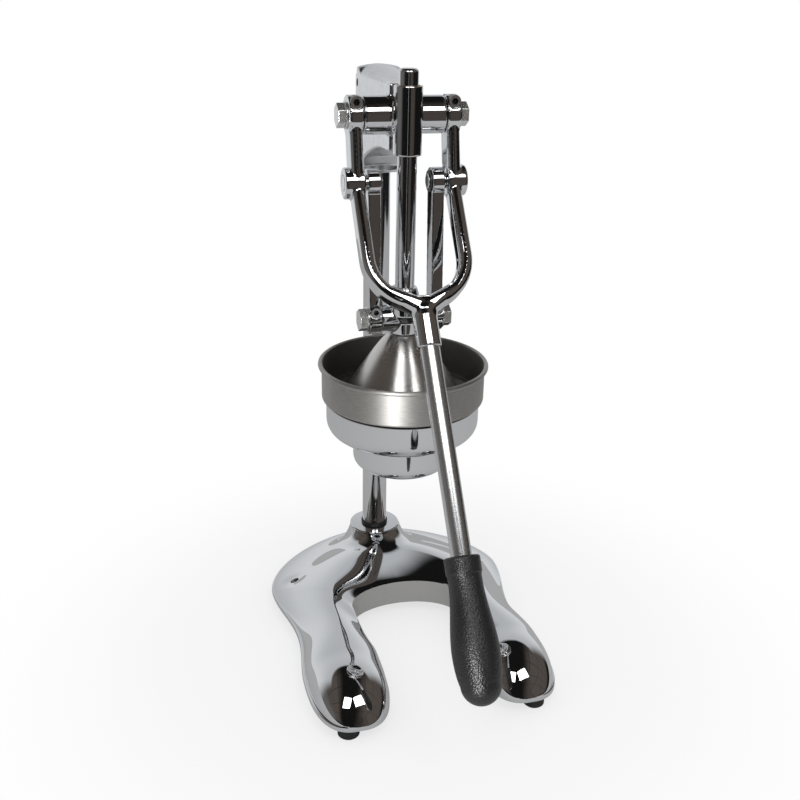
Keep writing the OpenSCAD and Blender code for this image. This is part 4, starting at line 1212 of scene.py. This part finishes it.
def world_light():
    """White for the camera, the mirrored room for reflections, and an even fill for the rest."""
    made = bpy.data.worlds.new("studio")
    made.use_nodes = True
    bpy.context.scene.world = made
    g = Graph(made.node_tree)
    camera = g.node("ShaderNodeLightPath", output="Is Camera Ray")
    seen = camera.math("MAXIMUM", camera.output("Is Glossy Ray"))
    seen = seen.math("MAXIMUM", camera.output("Is Transmission Ray"))
    shown = g.blend(seen, FILL, g.blend(camera, mirrored_room(g), WHITE))
    background = g.node("ShaderNodeBackground", {"Color": shown, "Strength": 1.0})
    g.node("ShaderNodeOutputWorld", {"Surface": background})


def paper():
    """Pale paper that fades to white away from the press and keeps the shadow."""
    g, at, tint = material("paper", "paper")
    x, y, _ = g.split(at)
    grain = g.noise(at, 600, 3.0, 0.6)
    away = (x * x + y * y).math("SQRT").step(PAPER_NEAR, PAPER_FAR)
    camera = g.node("ShaderNodeLightPath", output="Is Camera Ray")
    shade = g.blend(grain, tint, scaled(tint, 0.985))
    shade = g.blend(camera.output("Is Glossy Ray") * 0.42, shade, BLACK)
    diffuse = g.node("ShaderNodeBsdfDiffuse", {"Color": shade})
    white = g.node("ShaderNodeEmission", {"Color": (*WHITE, 1), "Strength": 1.0})
    both = g.node("ShaderNodeMixShader", {0: camera * (away * 0.3 + 0.7), 1: diffuse, 2: white})
    g.node("ShaderNodeOutputMaterial", {"Surface": both})


def paper_floor():
    """The floor under the press."""
    paper()
    bm = bmesh.new()
    bmesh.ops.create_grid(bm, x_segments=1, y_segments=1, size=1.0)
    bmesh.ops.scale(bm, vec=FLOOR_HALF, verts=bm.verts)
    bmesh.ops.translate(bm, vec=FLOOR_PLACE, verts=bm.verts)
    floor = object_from("floor", bm)
    coat(floor, "paper")


def aim_camera():
    """The camera at the photograph's place and turn."""
    sizes = bpy.context.scene.press_camera
    lens = bpy.data.cameras.new("camera")
    lens.lens = sizes.lens
    lens.sensor_width = SENSOR
    lens.clip_start = CLIP_START
    level = cos(sizes.pitch)
    forward = Vector((-sin(sizes.yaw) * level, cos(sizes.yaw) * level, -sin(sizes.pitch)))
    right = Vector((cos(sizes.yaw), sin(sizes.yaw), 0))
    down = forward.cross(right)
    image_x = right * cos(sizes.roll) + down * sin(sizes.roll)
    image_y = down * cos(sizes.roll) - right * sin(sizes.roll)
    turn = Matrix((image_x, -image_y, -forward)).transposed().to_4x4()
    camera = bpy.data.objects.new("camera", lens)
    camera.matrix_world = Matrix.Translation(sizes.place) @ turn
    bpy.context.scene.collection.objects.link(camera)
    bpy.context.scene.camera = camera


class PRESS_OT_stage(Operator):
    """Make materials, floor, lamps, world and camera."""
    bl_idname = "press.stage"
    bl_label = "Studio"

    def execute(self, context):
        context.scene.view_settings.view_transform = "Standard"
        for maker in MATERIAL_MAKERS:
            maker()
        for node in CAP_SCREWS:
            cap_screw(node)
        world_light()
        paper_floor()
        softbox("softbox_left", azimuth=-26, elevation=48, width=0.46, height=0.46, power=2.4)
        softbox("softbox_right", azimuth=16, elevation=48, width=0.46, height=0.46, power=2.4)
        strip = softbox("strip_left", azimuth=-27, elevation=4, width=0.07, height=0.7, power=14.0)
        strip.light_linking.receiver_collection = bpy.data.collections.new(STRIP_GROUP)
        aim_camera()
        return {"FINISHED"}


# Add-on

class PRESS_PT_panel(Panel):
    """The press in the sidebar."""
    bl_idname = "PRESS_PT_panel"
    bl_label = "Citrus press"
    bl_space_type = "VIEW_3D"
    bl_region_type = "UI"
    bl_category = "Citrus Press"

    def draw(self, context):
        for operator in OPERATORS:
            self.layout.operator(operator.bl_idname)


OPERATORS = (PRESS_OT_stage, PRESS_OT_base, PRESS_OT_bars, PRESS_OT_handle, PRESS_OT_steel, PRESS_OT_skins,
             PRESS_OT_frame_parts)
GROUPS = {"press_base": BaseSizes, "press_head": HeadSizes, "press_lever": LeverSizes,
          "press_cup": CupSizes, "press_finishes": Finishes, "press_camera": CameraSizes}
CLASSES = (*GROUPS.values(), *OPERATORS, PRESS_PT_panel)


def register():
    for cls in CLASSES:
        bpy.utils.register_class(cls)
    for name, group in GROUPS.items():
        setattr(bpy.types.Scene, name, bpy.props.PointerProperty(type=group))


def unregister():
    for name in GROUPS:
        delattr(bpy.types.Scene, name)
    for cls in reversed(CLASSES):
        bpy.utils.unregister_class(cls)


def main():
    register()
    bpy.ops.press.stage()
    bpy.ops.press.base()
    bpy.ops.press.bars()
    bpy.ops.press.handle()
    bpy.ops.press.steel()
    bpy.ops.press.skins()
    bpy.ops.press.frame_parts()


if __name__ == "__main__":
    main()
